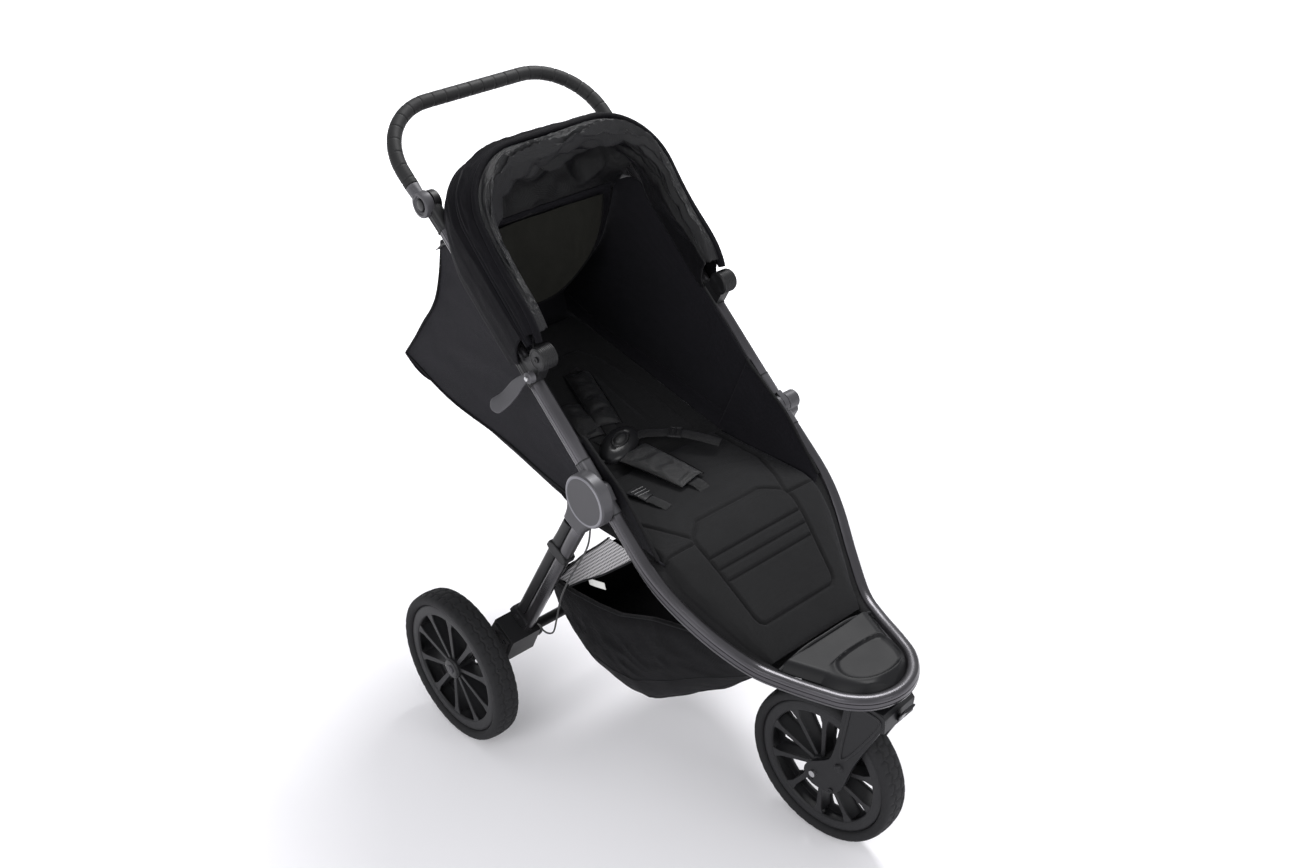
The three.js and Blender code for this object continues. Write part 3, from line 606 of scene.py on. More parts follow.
def frame_tubes():
    rail = make("rail", *sweep(spline(rail_path(), 190), TUBE), frame_paint, "front_frame", sharp=28,
                slot="frame_metal")
    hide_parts("front_frame_tube")
    for name, side in SIDES:
        x = side * FRAME_HALF
        ends = [(x, *on_frame(UPPER_COLLAR, 0)), (x, *on_frame(UPPER_LENGTH - 20, 0))]
        tube = make("side_tube_" + name, *sweep(resample(ends, 12), TUBE), frame_paint, "upper_frame",
                    sharp=28, slot="frame_metal")
        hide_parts("upper_tube_" + name)
        for part, low, high, body, way in (("lower", -LOWER_COLLAR, -19, "front_frame", -1),
                                           ("upper", 19, UPPER_COLLAR, "upper_frame", 1)):
            sleeve = sweep([(x, *on_frame(along, 0)) for along in (low, (low + high) / 2, high)],
                           scaled(TUBE, 1.045))
            inner, outer = sorted((FRAME_HALF + 0.4 * way, FRAME_HALF + 11 * way))
            first = FRAME_ANGLE - 90 * way
            eye = [(HUB[0] + 17 * math.cos(math.radians(a)), HUB[1] + 17 * math.sin(math.radians(a)))
                   for a in range(first, first - 181, -12)]
            arm = [on_frame(way * 21, -12.5 * way), on_frame(way * 21, 12.5 * way)]
            lug = side_slab(arm[::-1] + eye, side, inner, outer)
            piece = make(f"{part}_hinge_{name}", *join(sleeve, lug), cast_paint, body, sharp=30, bevel=0.8,
                         slot="cast_metal")
            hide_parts(f"{part}_knuckle_{name}")
        for low, body in ((-LOWER_COLLAR - 2.2, "front_frame"), (UPPER_COLLAR - 0.2, "upper_frame")):
            ring = sweep([(x, *on_frame(low, 0)), (x, *on_frame(low + 2.4, 0))], scaled(TUBE, 1.075))
            make(f"collar_{body}_{name}", *ring, black_plastic, body, sharp=30, slot="black_plastic")


frame_tubes()


# ---------- rear legs ----------
def casting_outline(radius, last, shoulder):
    """The leg casting from the side: a round head and a neck that narrows to the leg."""
    points = []
    for degrees in range(180, last, -6):
        a = math.radians(degrees)
        points.append((radius * math.cos(a), radius * math.sin(a)))
    points += shoulder + [(63, 21.9), (74.6, 21.2)]
    both = points + [(u, -v) for u, v in points[:0:-1]]
    return [on_leg(u, v) for u, v in both]


def rear_legs():
    for name, side in SIDES:
        inner, outer = LEG_X - CASTING_HALF, LEG_X + CASTING_HALF
        shape = (casting_outline(DISC_R, 46, [(36, 30.5), (43, 26.5), (52, 23.5)]) if name == "right" else
                 casting_outline(EYE_R, 76, [(9, 20.5), (30, 22.0)]))
        casting = make("hub_casting_" + name, *side_slab(shape, side, inner, outer), cast_paint,
                       "rear_legs", sharp=32, bevel=4.0, slot="cast_metal")
        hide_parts("leg_casting_" + name)
        if name == "right":
            ring = facing([(0.01, 0.4), (34, 0.4), (37.0, 0.1), (38.2, -0.4), (39, 0.2), (40.5, 1.2),
                           (42.5, 1.3), (44, 0.2), (44, -3)], side)
            make("hub_disc_right", *lathe(ring, (side * (outer - 0.6), *HUB), 96), disc_paint, "rear_legs",
                 sharp=35, slot="cast_metal")

        x = side * LEG_X
        front = [(x, *on_leg(75, -9)), (x, *on_leg(240, -9)), (x, *on_leg(418, -9))]
        tube = sweep(resample(front, 20), oval(9.8, 11.6, 28, 2.6), up=(0, 1, 0))
        lead = make("leg_tube_" + name, *tube, frame_paint, "rear_legs", sharp=40, slot="frame_metal")
        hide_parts("rear_leg_" + name)
        cover_path = resample([(x, *on_leg(84, 12)), (x, *on_leg(398, 12))], 24)

        def cover_section(t):
            swell = 0.10 * math.exp(-((t - 0.2) / 0.03) ** 2)
            grow = 1.0 + swell + 0.06 * math.exp(-((t - 0.97) / 0.04) ** 2)
            return oval(8.8 * grow, 10.2 * grow, 24, 3.2)

        cover = make("leg_cover_" + name, *sweep(cover_path, cover_section, up=(0, 1, 0)), black_plastic,
                     "rear_legs", sharp=40, bevel=1.0, slot="black_plastic")
        clip_outline = soften([on_leg(150, -22), on_leg(150, 24), on_leg(172, 26), on_leg(172, -22)], 1)
        make("leg_clip_" + name, *side_slab(clip_outline, side, LEG_X - 11.5, LEG_X + 11.5), black_plastic,
             "rear_legs", sharp=30, bevel=1.6, slot="black_plastic")
        boss = soften([on_leg(378, -14), on_leg(378, 26), on_leg(404, 30), on_leg(404, -14)], 1)
        collar = side_slab(boss, side, LEG_X - 13, LEG_X + 14)
        bolt = screw((side * (LEG_X + 14), *on_leg(391, 8)), side, 5)
        make("leg_boss_" + name, *join(collar, bolt), black_plastic, "rear_legs", sharp=30, bevel=1.5,
             slot="black_plastic")

        low, high = LEG_X - 17, LEG_X + 45
        start = 405.4
        bracket = [(start, -28), (start + 62, -32), (start + 92, -12), (start + 140, 5), (start + 153, 24),
                   (start + 141, 42), (start + 112, 43), (start + 55, 28), (start, 27)]
        block = side_slab([on_leg(a, b) for a, b in bracket], side, low, high)
        rib = side_slab([on_leg(a, b) for a, b in ((start + 6, -22), (start + 56, -25), (start + 78, -9),
                                                  (start + 70, 18), (start + 6, 21))], side, high - 1,
                        high + 3)
        screws = [screw((side * (high + 2.6), *on_leg(a, b)), side, 4.4)
                  for a, b in ((start + 18, -12), (start + 58, -8), (start + 22, 12))]
        axle = lathe(facing([(0.01, 0), (6, 0), (6, 52), (0.01, 52)], side), (side * (high - 1), 0, WHEEL_R),
                     32)
        washer = lathe(facing([(6.2, 0), (15, 0), (16, 1.2), (16, 4), (14, 6), (6.2, 6)], side),
                       (side * high, 0, WHEEL_R), 40)
        knuckle = make("axle_block_" + name, *join(block, rib, axle, washer, *screws), black_plastic,
                       "rear_legs", 30, bevel=2.6, slot="black_plastic")
        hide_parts("axle_bracket_" + name)

    end = LEG_X - 17.4
    high_y, high_z = on_leg(405 + 29, -18)
    route = [(end, high_y, high_z), (end - 8, high_y, high_z), (end - 17, high_y + 22, high_z - 16),
             (end - 30, -38, 179), (end - 50, -38, 178), (0, -38, 178)]
    path = route + [(-x, y, z) for x, y, z in route[-2::-1]]
    bar = make("cross_tube", *sweep(spline(path, 90), oval(9.8, 9.8, 20), up=(0, 1, 0.3)), black_plastic,
               "rear_legs", 40, slot="black_plastic")
    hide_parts("rear_crossbar")

    x = -(LEG_X - 17.2)
    points = [on_leg(62, -12), on_leg(110, -28), on_leg(170, -30), on_leg(230, -29), on_leg(290, -34),
              on_leg(340, -46), on_leg(380, -52), on_leg(400, -38), on_leg(403, -24)]
    cable = make("brake_wire", *sweep(spline([(x, y, z) for y, z in points], 80), oval(1.6, 1.6, 10),
                                      up=ALONG_X),
                 pale_sleeve, "rear_legs", sharp=60, slot="cable_sleeve")
    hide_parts("brake_cable")


rear_legs()


# ---------- wheels ----------
def tread(angle, across):
    """Depth of the tyre's grooves: zig-zag ribs on the crown and sipes on the shoulders."""
    pitch = 2 * math.pi / 44
    zig = 2.2 * (abs(((angle / pitch) % 1) - 0.5) * 4 - 1)
    depth = 0.0
    for line in (-8.5, 8.5):
        depth = max(depth, 1.9 * math.exp(-(((across - line - zig) / 1.3) ** 4)))
    phase = ((angle + (0.5 * pitch if across > 0 else 0)) / pitch) % 1
    cross = abs(phase - 0.5 + 0.012 * across)
    if 8 < abs(across) < 22:
        depth = max(depth, 1.7 * math.exp(-((cross / 0.07) ** 4)))
    centre = abs(((angle / pitch) % 1) - 0.5)
    if abs(across) < 7:
        depth = max(depth, 1.3 * math.exp(-((centre / 0.05) ** 4)))
    return depth


def tyre_mesh(center):
    profile = [(BEAD_R + 0.4, -18.0), (BEAD_R + 1.4, -20.6), (BEAD_R + 3.4, -22.8), (BEAD_R + 6.5, -24.0),
               (WHEEL_R - 9.5, -24.4), (WHEEL_R - 7.0, -24.2), (WHEEL_R - 5.2, -23.4), (WHEEL_R - 3.4, -21.6)]
    crown = [(WHEEL_R - 2.2 * (abs(x) / 19) ** 2.4, x) for x in np.linspace(-19, 19, 24)]
    profile = profile + crown + [(r, -x) for r, x in profile[::-1]]
    segments = 264
    vertices, faces = [], []
    n = len(profile)
    for i in range(segments):
        angle = 2 * math.pi * i / segments
        for r, x in profile:
            cut = tread(angle, x) if r > WHEEL_R - 6 else 0
            if WHEEL_R - 12 < r < WHEEL_R - 5 and abs(x) > 22:
                cut = 0.8 * (math.sin(angle * 44) > 0.2)
            r = r - cut
            vertices.append((center[0] + x, center[1] + r * math.cos(angle), center[2] + r * math.sin(angle)))
    for i in range(segments):
        j = (i + 1) % segments
        for k in range(n):
            m = (k + 1) % n
            faces.append((i * n + k, i * n + m, j * n + m, j * n + k))
    return vertices, faces


def blade(index):
    """One spoke: a thin web across the wheel with a flange along each outer edge, wider at the rim."""
    inner_r, outer_r = 17.0, 106.0
    steps = 7

    def tapered(x0, x1, inner, outer):
        rows = []
        for k in range(steps):
            t = k / (steps - 1)
            r = inner_r + (outer_r - inner_r) * t
            flare = 1 + 0.9 * max(0, (t - 0.82) / 0.18) ** 2
            half = (inner + (outer - inner) * t) * flare
            rows.append([(x0(t), -half, r), (x1(t), -half, r), (x1(t), half, r), (x0(t), half, r)])
        vertices = [v for row in rows for v in row]
        faces = [(0, 1, 2, 3), tuple(range(len(vertices) - 4, len(vertices)))]
        for k in range(steps - 1):
            for m in range(4):
                n = (m + 1) % 4
                faces.append((4 * k + m, 4 * k + n, 4 * k + 4 + n, 4 * k + 4 + m))
        return vertices, faces

    def depth(t):
        return 14.5 + 3.0 * t

    parts = [tapered(lambda t: -depth(t) + 1, lambda t: depth(t) - 1, 1.7, 2.0),
             tapered(lambda t: depth(t) - 3.4, depth, 3.4, 5.2),
             tapered(lambda t: -depth(t), lambda t: 3.4 - depth(t), 3.4, 5.2)]
    turn = Matrix.Rotation(2 * math.pi * index / SPOKES, 3, "X")
    return moved(join(*parts), lambda v: turn @ v)


def wheel_parts(hub_half):
    rim = lathe([(104, 15.5), (106, 18.6), (110, 19.6), (119, 19.6), (122.2, 18.4), (BEAD_R - 0.2, 16.8),
                 (BEAD_R - 0.2, -16.8), (122.2, -18.4), (119, -19.6), (110, -19.6), (106, -18.6),
                 (104, -15.5),
                 (105.5, -13.5), (118, -13), (118, 13), (105.5, 13.5)], (0, 0, 0), 120, closed=True)
    hub = lathe([(6.6, hub_half), (13, hub_half), (14.5, hub_half - 1), (18.5, hub_half - 2),
                 (20, hub_half - 4),
                 (20, -hub_half + 4), (18.5, -hub_half + 2), (14.5, -hub_half + 1), (13, -hub_half),
                 (6.6, -hub_half)], (0, 0, 0), 48, closed=True)
    return [rim, hub] + [blade(i) for i in range(SPOKES)]


def wheels():
    for name, side in SIDES:
        center = Vector((side * TRACK_HALF, 0, WHEEL_R))
        core = join(*[moved(p, lambda v: v + center) for p in wheel_parts(HUB_HALF)])
        body = "rear_wheel_" + name
        wheel = make("wheel_" + name, *core, wheel_plastic, body, sharp=35, bevel=0.7, slot="wheel_plastic")
        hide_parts("rear_wheel_" + name)
        rubber = make("tyre_" + name, *tyre_mesh(center), tyre_rubber, body, sharp=32, slot="tyre_rubber")
        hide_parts("rear_tyre_" + name)
        cap = lathe(facing([(8.6, 22), (15, 22.6), (17.4, 21.6), (18.2, 19), (8.6, 18.5)], side), center, 48,
                    closed=True)
        make("hub_cap_" + name, *cap, satin_plastic, body, sharp=35, slot="black_plastic")
        button = lathe(facing([(0.01, 25.6), (3.4, 25.6), (4.2, 25.0), (6.4, 25.2), (7.6, 24.2), (7.9, 19),
                               (0.01, 19)], side), center, 40)
        release = make("release_" + name, *button, cast_paint, "wheel_release_" + name, sharp=35,
                       slot="black_plastic")
        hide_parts("wheel_release_" + name)


wheels()


# ---------- fork and front wheel ----------
def fork():
    turn = Matrix.Rotation(math.radians(SWIVEL_REST), 3, "Z")

    def place(v):
        return turn @ v + Vector((0, STEER_Y, 0))

    back = FRONT_AXLE_Y - STEER_Y
    outline = soften([(-49, 323), (-49, 345), (28, 345), (28, 312), (back - 36, 200), (back - 16, 181),
                      (back + 12, 163),
                      (back + 21, 144), (back + 14, 126), (back - 6, 118), (back - 42, 122), (back - 60, 148),
                      (back - 76, 210)], 2)
    panel = soften([(-41, 318), (-41, 335), (17, 335), (17, 312), (back - 48, 206), (back - 66, 218)], 2)
    parts = []
    for name, side in SIDES:
        arm = side_slab(outline, side, FORK_INNER, FORK_OUTER)
        parts.append(arm)
        parts.append(screw((side * FORK_FACE, back + 5, WHEEL_R - 13), side, 4.6))
        parts.append(screw((side * FORK_FACE, back - 37, WHEEL_R - 14), side, 4.6))
        boss = lathe(facing([(0.01, 5), (5.5, 5), (7, 3.6), (8.6, 0)], side),
                     (side * FORK_FACE, back - 50, WHEEL_R + 44), 28)
        parts.append(boss)
        rim_path = [(side * 39.4, y, z) for y, z in panel + panel[:2]]
        parts.append(sweep(rim_path, oval(2.6, 1.7, 10), up=ALONG_X))
    crown = slab([(-49, 310), (-49, 338), (-44, 345), (22, 345), (28, 338), (28, 318), (20, 309), (-40, 306)],
                 -38, 38)
    parts.append(crown)
    body = make("fork_arms", *moved(join(*parts), place), fork_plastic, "fork", sharp=30, bevel=1.8,
                slot="cast_metal")
    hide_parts("fork")

    paddle_path = [(-2, 318), (-6, 330), (-12, 341), (-17, 349)]
    rows = resample([(0, -49 + y, z) for y, z in paddle_path], 8)
    paddle = sweep(rows, lambda t: oval(7 + 7 * t, 2.6, 16, 2.6), up=(0, -1, 0.6))
    flip = make("swivel_paddle", *moved(paddle, place), satin_plastic, "swivel_lock", sharp=40,
                slot="black_plastic")
    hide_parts("swivel_lock_lever")

    shift = Vector((0, back, WHEEL_R))
    core = join(*wheel_parts(HUB_HALF))
    core = moved(moved(core, lambda v: v + shift), place)
    wheel = make("wheel_front", *core, wheel_plastic, "front_wheel", sharp=35, bevel=0.7,
                 slot="wheel_plastic")
    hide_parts("front_wheel")
    rubber = make("tyre_front", *moved(moved(tyre_mesh((0, 0, 0)), lambda v: v + shift), place), tyre_rubber,
                  "front_wheel", sharp=32, slot="tyre_rubber")
    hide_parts("front_tyre")


fork()


# ---------- footplate ----------
def footplate():
    inset = 9.0
    radius = NOSE_RADIUS - inset
    rear_y = NOSE_Y + 63
    rear_half = NOSE_RADIUS + 27 - 11
    dish_x, dish_y, dish_rx, dish_ry = 14, -664, 66, 44

    def half_width(y):
        if y < NOSE_Y:
            return math.sqrt(max(0, radius ** 2 - (y - NOSE_Y) ** 2))
        return radius + (rear_half - radius) * (y - NOSE_Y) / (rear_y - NOSE_Y)

    def height(x, y):
        edge = min(1, max(0, (half_width(y) - abs(x)) / 22)) * min(1, max(0, (y - (NOSE_Y - radius)) / 22))
        z = 377 + 15 * math.sin(edge * math.pi / 2)
        u, v = (x - dish_x) / dish_rx, (y - dish_y) / dish_ry
        d = math.hypot(u, v if v < 0.6 else v + (v - 0.6) * 2.4)
        z += 1.6 * math.exp(-(((d - 1.0) / 0.10) ** 2))
        z -= 4.0 / (1 + math.exp((d - 0.93) / 0.022))
        return z

    def shape(u, v):
        y = rear_y + (NOSE_Y - radius + 0.2 - rear_y) * v
        x = (2 * u - 1) * half_width(y)
        return x, y, height(x, y)

    top = make("foot_rest", *grid(shape, 120, 110), plate_plastic, "front_frame", 60, thickness=4, offset=-1,
               slot="black_plastic")
    lip = [(-rear_half, rear_y, 379), (-rear_half * 0.5, rear_y + 1, 391), (0, rear_y + 1, 392),
           (rear_half * 0.5, rear_y + 1, 391), (rear_half, rear_y, 379)]
    make("foot_rest_edge", *sweep(spline(lip, 40), oval(3, 4.5, 14)), black_plastic, "front_frame", sharp=50,
         slot="black_plastic")
    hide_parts("footplate")


footplate()


# ---------- handlebar ----------
HANDLE_PIVOT = on_frame(UPPER_LENGTH, 0)


def on_handle(x, along, across=0.0):
    a = math.radians(HANDLE_TILT)
    return (x, HANDLE_PIVOT[0] + along * math.sin(a) + across * math.cos(a),
            HANDLE_PIVOT[1] + along * math.cos(a) - across * math.sin(a))


def arch(half, start, reach, corner, count):
    """Evenly spaced (x, reach) points of two legs and a top with round corners."""
    points = [(-half, start), (-half, reach - corner)]
    for degrees in range(180, 89, -6):
        a = math.radians(degrees)
        points.append((-half + corner + corner * math.cos(a), reach - corner + corner * math.sin(a)))
    points += [(-x, r) for x, r in points[::-1]]
    return resample(points, count)


def handlebar():
    parts = [sweep([on_handle(x, r) for x, r in arch(HANDLE_HALF, 18, HANDLE_REACH, HANDLE_CORNER, 110)],
                   oval(9.6, 9.6, 24), up=HANDLE_UP)]
    for name, side in SIDES:
        pivot = (side * HANDLE_HALF, *HANDLE_PIVOT)
        ring = [(11, -8.3), (20, -8.3), (22, -6.5), (22, 5.6), (21, 7.6), (18.6, 8.5), (16.4, 8.3),
                (15.6, 6.9), (13.2, 6.6), (11.0, 4)]
        parts.append(lathe(facing(ring, side), pivot, 72, closed=True))
        parts.append(sweep([on_handle(side * HANDLE_HALF, r) for r in (14, 22, 30, 36)],
                           lambda t: oval(8.4 + 2.8 * t, 13.5 - 1.8 * t, 24, 2.6), up=HANDLE_UP))
        button = [(0.01, 8.0), (7.6, 7.9), (9.2, 7.2), (9.9, 5.6), (10, 0.8), (0.01, 0.8)]
        push = make("tilt_button_" + name, *lathe(facing(button, side), pivot, 48), satin_plastic,
                    "handle_button_" + name, sharp=40, slot="black_plastic")
        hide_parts("handle_button_" + name)
        cup = [(0.01, 0), (17, 0), (19.6, 2.4), (20, 6), (20, 14.4), (0.01, 15.2)]
        housing = lathe(facing(cup, side), (side * (HANDLE_HALF - 25), *HANDLE_PIVOT), 56)
        x = side * FRAME_HALF
        neck = sweep([(x, *on_frame(along, 0)) for along in (498, 512, 526, 540)],
                     lambda t: scaled(TUBE, 1.08 + 0.12 * t))
        bead = sweep([(x, *on_frame(along, 0)) for along in (496, 499)], scaled(TUBE, 1.15))
        mount = make("tilt_housing_" + name, *join(housing, neck, bead), black_plastic, "upper_frame",
                     sharp=34, bevel=0.6, slot="black_plastic")
        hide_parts("handle_housing_" + name)
    bar = make("handle_bar", *join(*parts), cast_paint, "handle", sharp=36, slot="cast_metal")
    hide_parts("handlebar")

    route = arch(HANDLE_HALF, 35, HANDLE_REACH, HANDLE_CORNER, 560)

    def grip_section(t):
        seam = abs(((t * 24) % 1) - 0.5)
        radius = 12.3 - 0.95 * math.exp(-((seam / 0.045) ** 2))
        if t < 0.004 or t > 0.996:
            radius = 10.6
        points = []
        for k in range(28):
            a = 2 * math.pi * k / 28
            notch = 0.8 * math.exp(-(((a - math.pi * 1.5) / 0.16) ** 2))
            points.append(((radius - notch) * math.cos(a), (radius - notch) * math.sin(a)))
        return points

    grip = make("grip_sleeve", *sweep([on_handle(x, r) for x, r in route], grip_section, up=HANDLE_UP),
                grip_foam, "handle", sharp=40, slot="grip_foam")
    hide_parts("handle_grip")


handlebar()


# ---------- canopy mounts and brake lever ----------
CANOPY_PIVOT = on_frame(CANOPY_ALONG, CANOPY_ABOVE)


def canopy_mounts():
    for name, side in SIDES:
        profile = [(0.01, 181), (16.5, 181), (18.6, 182.4)]
        x = 183.4
        while x < 208:
            profile += [(20, x), (20, x + 1.5), (19.1, x + 2.0), (19.1, x + 2.7)]
            x += 3.2
        profile += [(18.6, 210.4), (15, 211.6), (13.6, 210.6), (0.01, 210.6)]
        drum = lathe(facing([(r, q - 196) for r, q in profile], side), (side * 196, *CANOPY_PIVOT), 64)
        foot = [on_frame(CANOPY_ALONG + along, above) for along, above in (
            (-22, 13.6), (20, 13.6), (13, 40), (8, CANOPY_ABOVE), (-12, CANOPY_ABOVE), (-17, 34))]
        saddle = sweep([(side * FRAME_HALF, *on_frame(CANOPY_ALONG + along, 0)) for along in (-24, 0, 24)],
                       scaled(TUBE, 1.09))
        head = screw((side * 210.4, *CANOPY_PIVOT), side, 5)
        piece = make("canopy_drum_" + name, *join(drum, side_slab(foot, side, 188, 209), saddle, head),
                     black_plastic, "upper_frame", sharp=34, bevel=0.7, slot="black_plastic")
        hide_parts("canopy_mount_" + name)


def brake_lever():
    y, z = on_frame(212, 21)
    path = spline([(-218, y - 4, z + 5), (-221, y + 6, z - 2), (-225, y + 20, z - 16), (-230, y + 34, z - 36),
                   (-236, y + 47, z - 54), (-243, y + 60, z - 67), (-247, y + 68, z - 74)], 40)

    def section(t):
        width = 7.5 + 6.5 * min(1, max(0, (t - 0.12) / 0.3)) - 1.5 * math.sin(math.pi * t)
        if t > 0.9:
            width *= math.sqrt(max(0.12, 1 - ((t - 0.9) / 0.1) ** 2))
        return oval(width, 3.2, 20, 3.0)

    paddle = sweep(path, section, up=ALONG_X)
    pivot = lathe([(0.01, -4.2), (3.4, -4.2), (4.6, -3.2), (8.4, -2.4), (9.6, -1.2), (9.6, 8.5), (0.01, 8.5)],
                  (-221.5, y, z), 36)
    lever = make("brake_paddle", *join(paddle, pivot), cast_paint, "brake_lever", sharp=40,
                 slot="frame_metal")
    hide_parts("brake_lever")
    bolt = lathe([(0.01, -2), (3.2, -2), (4.2, -1.2), (4.2, 1), (0.01, 1)], (-225.6, y, z), 24)
    make("brake_bolt", *bolt, bright_steel, "brake_lever", sharp=40, slot="steel")


canopy_mounts()
brake_lever()


# ---------- cloth helpers ----------
CLOTH_EDGE = 60


def sheet(name, shape, columns, rows, material, body, thickness=1.6, slot="seat_cloth"):
    return make(name, *grid(shape, columns, rows), material, body, CLOTH_EDGE, thickness=thickness, slot=slot)


def piping(name, line, count, section, body, slot="seat_cloth", up=ALONG_X):
    """A bound edge or taped seam: binding tape of an oval section along a line."""
    return make(name, *sweep(resample(line, count), oval(*section), up=up), binding, body, CLOTH_EDGE,
                slot=slot)


SIM_FRAMES = 12
SIM_PRESSURE = 3.0
SIM_STIFFNESS = 15.0


def simulate(pad, cap):
    """Runs Blender's cloth on a pad and keeps the result, with no point moved further than the cap in mm."""
    before = np.array([v.co for v in pad.data.vertices])
    cloth = pad.modifiers.new("cloth", "CLOTH")
    cloth.settings.quality = 5
    cloth.settings.mass = 0.3
    cloth.settings.tension_stiffness = SIM_STIFFNESS
    cloth.settings.compression_stiffness = SIM_STIFFNESS
    cloth.settings.shear_stiffness = SIM_STIFFNESS / 3
    cloth.settings.bending_stiffness = 0.4
    cloth.settings.use_pressure = True
    cloth.settings.uniform_pressure_force = SIM_PRESSURE
    cloth.settings.effector_weights.gravity = 0
    cloth.point_cache.frame_end = SIM_FRAMES
    for number in range(1, SIM_FRAMES + 1):
        scene.frame_set(number)
    graph = bpy.context.evaluated_depsgraph_get()
    result = pad.evaluated_get(graph).data
    after = np.array([v.co for v in result.vertices])
    pad.modifiers.remove(cloth)
    scene.frame_set(1)
    if after.shape != before.shape or not np.isfinite(after).all():
        return
    move = after - before
    length = np.linalg.norm(move, axis=1, keepdims=True)
    move *= np.minimum(1, (cap / 1000) / np.maximum(length, 1e-9))
    for vertex, co in zip(pad.data.vertices, before + move):
        vertex.co = co


def pillow(top, columns, rows, thickness, edge=0.12):
    """A closed pad: top(u, v) gives a point and the direction out of it; the pad thins towards its edges."""
    upper, lower = [], []
    for j in range(rows + 1):
        for i in range(columns + 1):
            u, v = i / columns, j / rows
            point, out = top(u, v)
            reach = min(u, 1 - u, v, 1 - v) / edge
            fat = 0.18 + 0.82 * math.sin(min(1, reach) * math.pi / 2)
            point, out = np.array(point, float), np.array(out, float)
            upper.append(tuple(point))
            lower.append(tuple(point - out * thickness * fat))
    n = columns + 1
    count = len(upper)
    faces = []
    for j in range(rows):
        for i in range(columns):
            a = j * n + i
            faces.append((a, a + 1, a + n + 1, a + n))
            faces.append((a + count, a + n + count, a + n + 1 + count, a + 1 + count))
    rim = list(range(n)) + [j * n + columns for j in range(1, rows + 1)]
    rim += [rows * n + i for i in range(columns - 1, -1, -1)] + [j * n for j in range(rows - 1, 0, -1)]
    for a, b in zip(rim, rim[1:] + rim[:1]):
        faces.append((a, a + count, b + count, b))
    return upper + lower, faces


def press(piece, flat, lines, depth, width, out):
    """Sinks welded seams into a pad. flat(co) gives a point's place in the plane of the lines, in mm."""
    for vertex in piece.data.vertices:
        co = (vertex.co - Vector((0, AXLE_Y, 0))) * 1000
        distance = min(near_line(*flat(co), line) for line in lines)
        if distance <= 3 * width:
            vertex.co -= Vector(out(co)) * depth / 1000 * math.exp(-((distance / width) ** 2))


# ---------- seat and leg rest ----------
SEAM = (-394, 524)
SEAT_BACK = (-166, 515)
LEG_BOTTOM = (-566, 380)
LEG_LENGTH = math.hypot(SEAM[0] - LEG_BOTTOM[0], SEAM[1] - LEG_BOTTOM[1])
SEAT_LENGTH = math.hypot(SEAM[0] - SEAT_BACK[0], SEAM[1] - SEAT_BACK[1])
SEAT_WAY = np.array([(SEAT_BACK[0] - SEAM[0]) / SEAT_LENGTH, (SEAT_BACK[1] - SEAM[1]) / SEAT_LENGTH])
LEG_WAY = np.array([(LEG_BOTTOM[0] - SEAM[0]) / LEG_LENGTH, (LEG_BOTTOM[1] - SEAM[1]) / LEG_LENGTH])


def seat_profile(d):
    """Y, Z and outward direction at d millimetres below the front seam; negative d is on the seat."""
    point = np.array(SEAM) + (LEG_WAY * d if d > 0 else SEAT_WAY * -d)
    blend = 0.5 + 0.5 * math.tanh(d / 14)
    round_off = 5.0 * math.exp(-((d / 16) ** 2))
    out_seat, out_leg = np.array([-SEAT_WAY[1], SEAT_WAY[0]]), np.array([LEG_WAY[1], -LEG_WAY[0]])
    out = out_seat * (1 - blend) + out_leg * blend
    out /= np.linalg.norm(out)
    point = point - out * round_off
    return point, out


def seat_half(d):
    if d <= 0:
        return 177.0
    stations = [0, 60, 120, 175, LEG_LENGTH]
    return float(np.interp(d, stations, [177, 168, 146, 124, 108]))


def seat_cover():
    def top(u, v):
        d = -SEAT_LENGTH + (SEAT_LENGTH + LEG_LENGTH) * v
        half = seat_half(d)
        x = (2 * u - 1) * half
        (y, z), out = seat_profile(d)
        crown = 5.0 * (1 - (2 * u - 1) ** 4) + 1.2 * ripple(x, y, z, 60, 3)
        edge = 12.0 * max(0, abs(2 * u - 1) - 0.93) / 0.07
        return (x, y + out[0] * (crown - edge), z + out[1] * (crown - edge)), (0, out[0], out[1])

    piece = make("seat_pad", *pillow(top, 150, 200, 13, 0.05), seat_cloth, "front_frame", sharp=60,
                 slot="seat_cloth")
    simulate(piece, cap=4)

    def flat(co):
        y, z = co.y - SEAM[0], co.z - SEAM[1]
        down_leg = y * LEG_WAY[0] + z * LEG_WAY[1]
        along_seat = y * SEAT_WAY[0] + z * SEAT_WAY[1]
        return co.x, (down_leg if down_leg > 0 and y < 0 else -along_seat)

    lines = [
        [(-70, -38), (70, -38), (104, -10), (107, 8), (104, 40), (88, 150), (84, 160), (76, 166), (-76, 166),
         (-84, 160), (-88, 150), (-104, 40), (-107, 8), (-104, -10), (-70, -38)],
        [(-102, 34), (102, 34)], [(-97, 57), (97, 57)], [(-92, 79), (92, 79)],
        [(-176, -2), (-107, -2)], [(107, -2), (176, -2)],
        [(-104, -10), (-122, -46), (-146, -110), (-150, -226)],
        [(104, -10), (122, -46), (146, -110), (150, -226)],
    ]
    press(piece, flat, lines, depth=5.6, width=2.6, out=lambda co: (0, *seat_profile(flat(co)[1])[1]))
    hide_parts("seat_base", "legrest")


seat_cover()


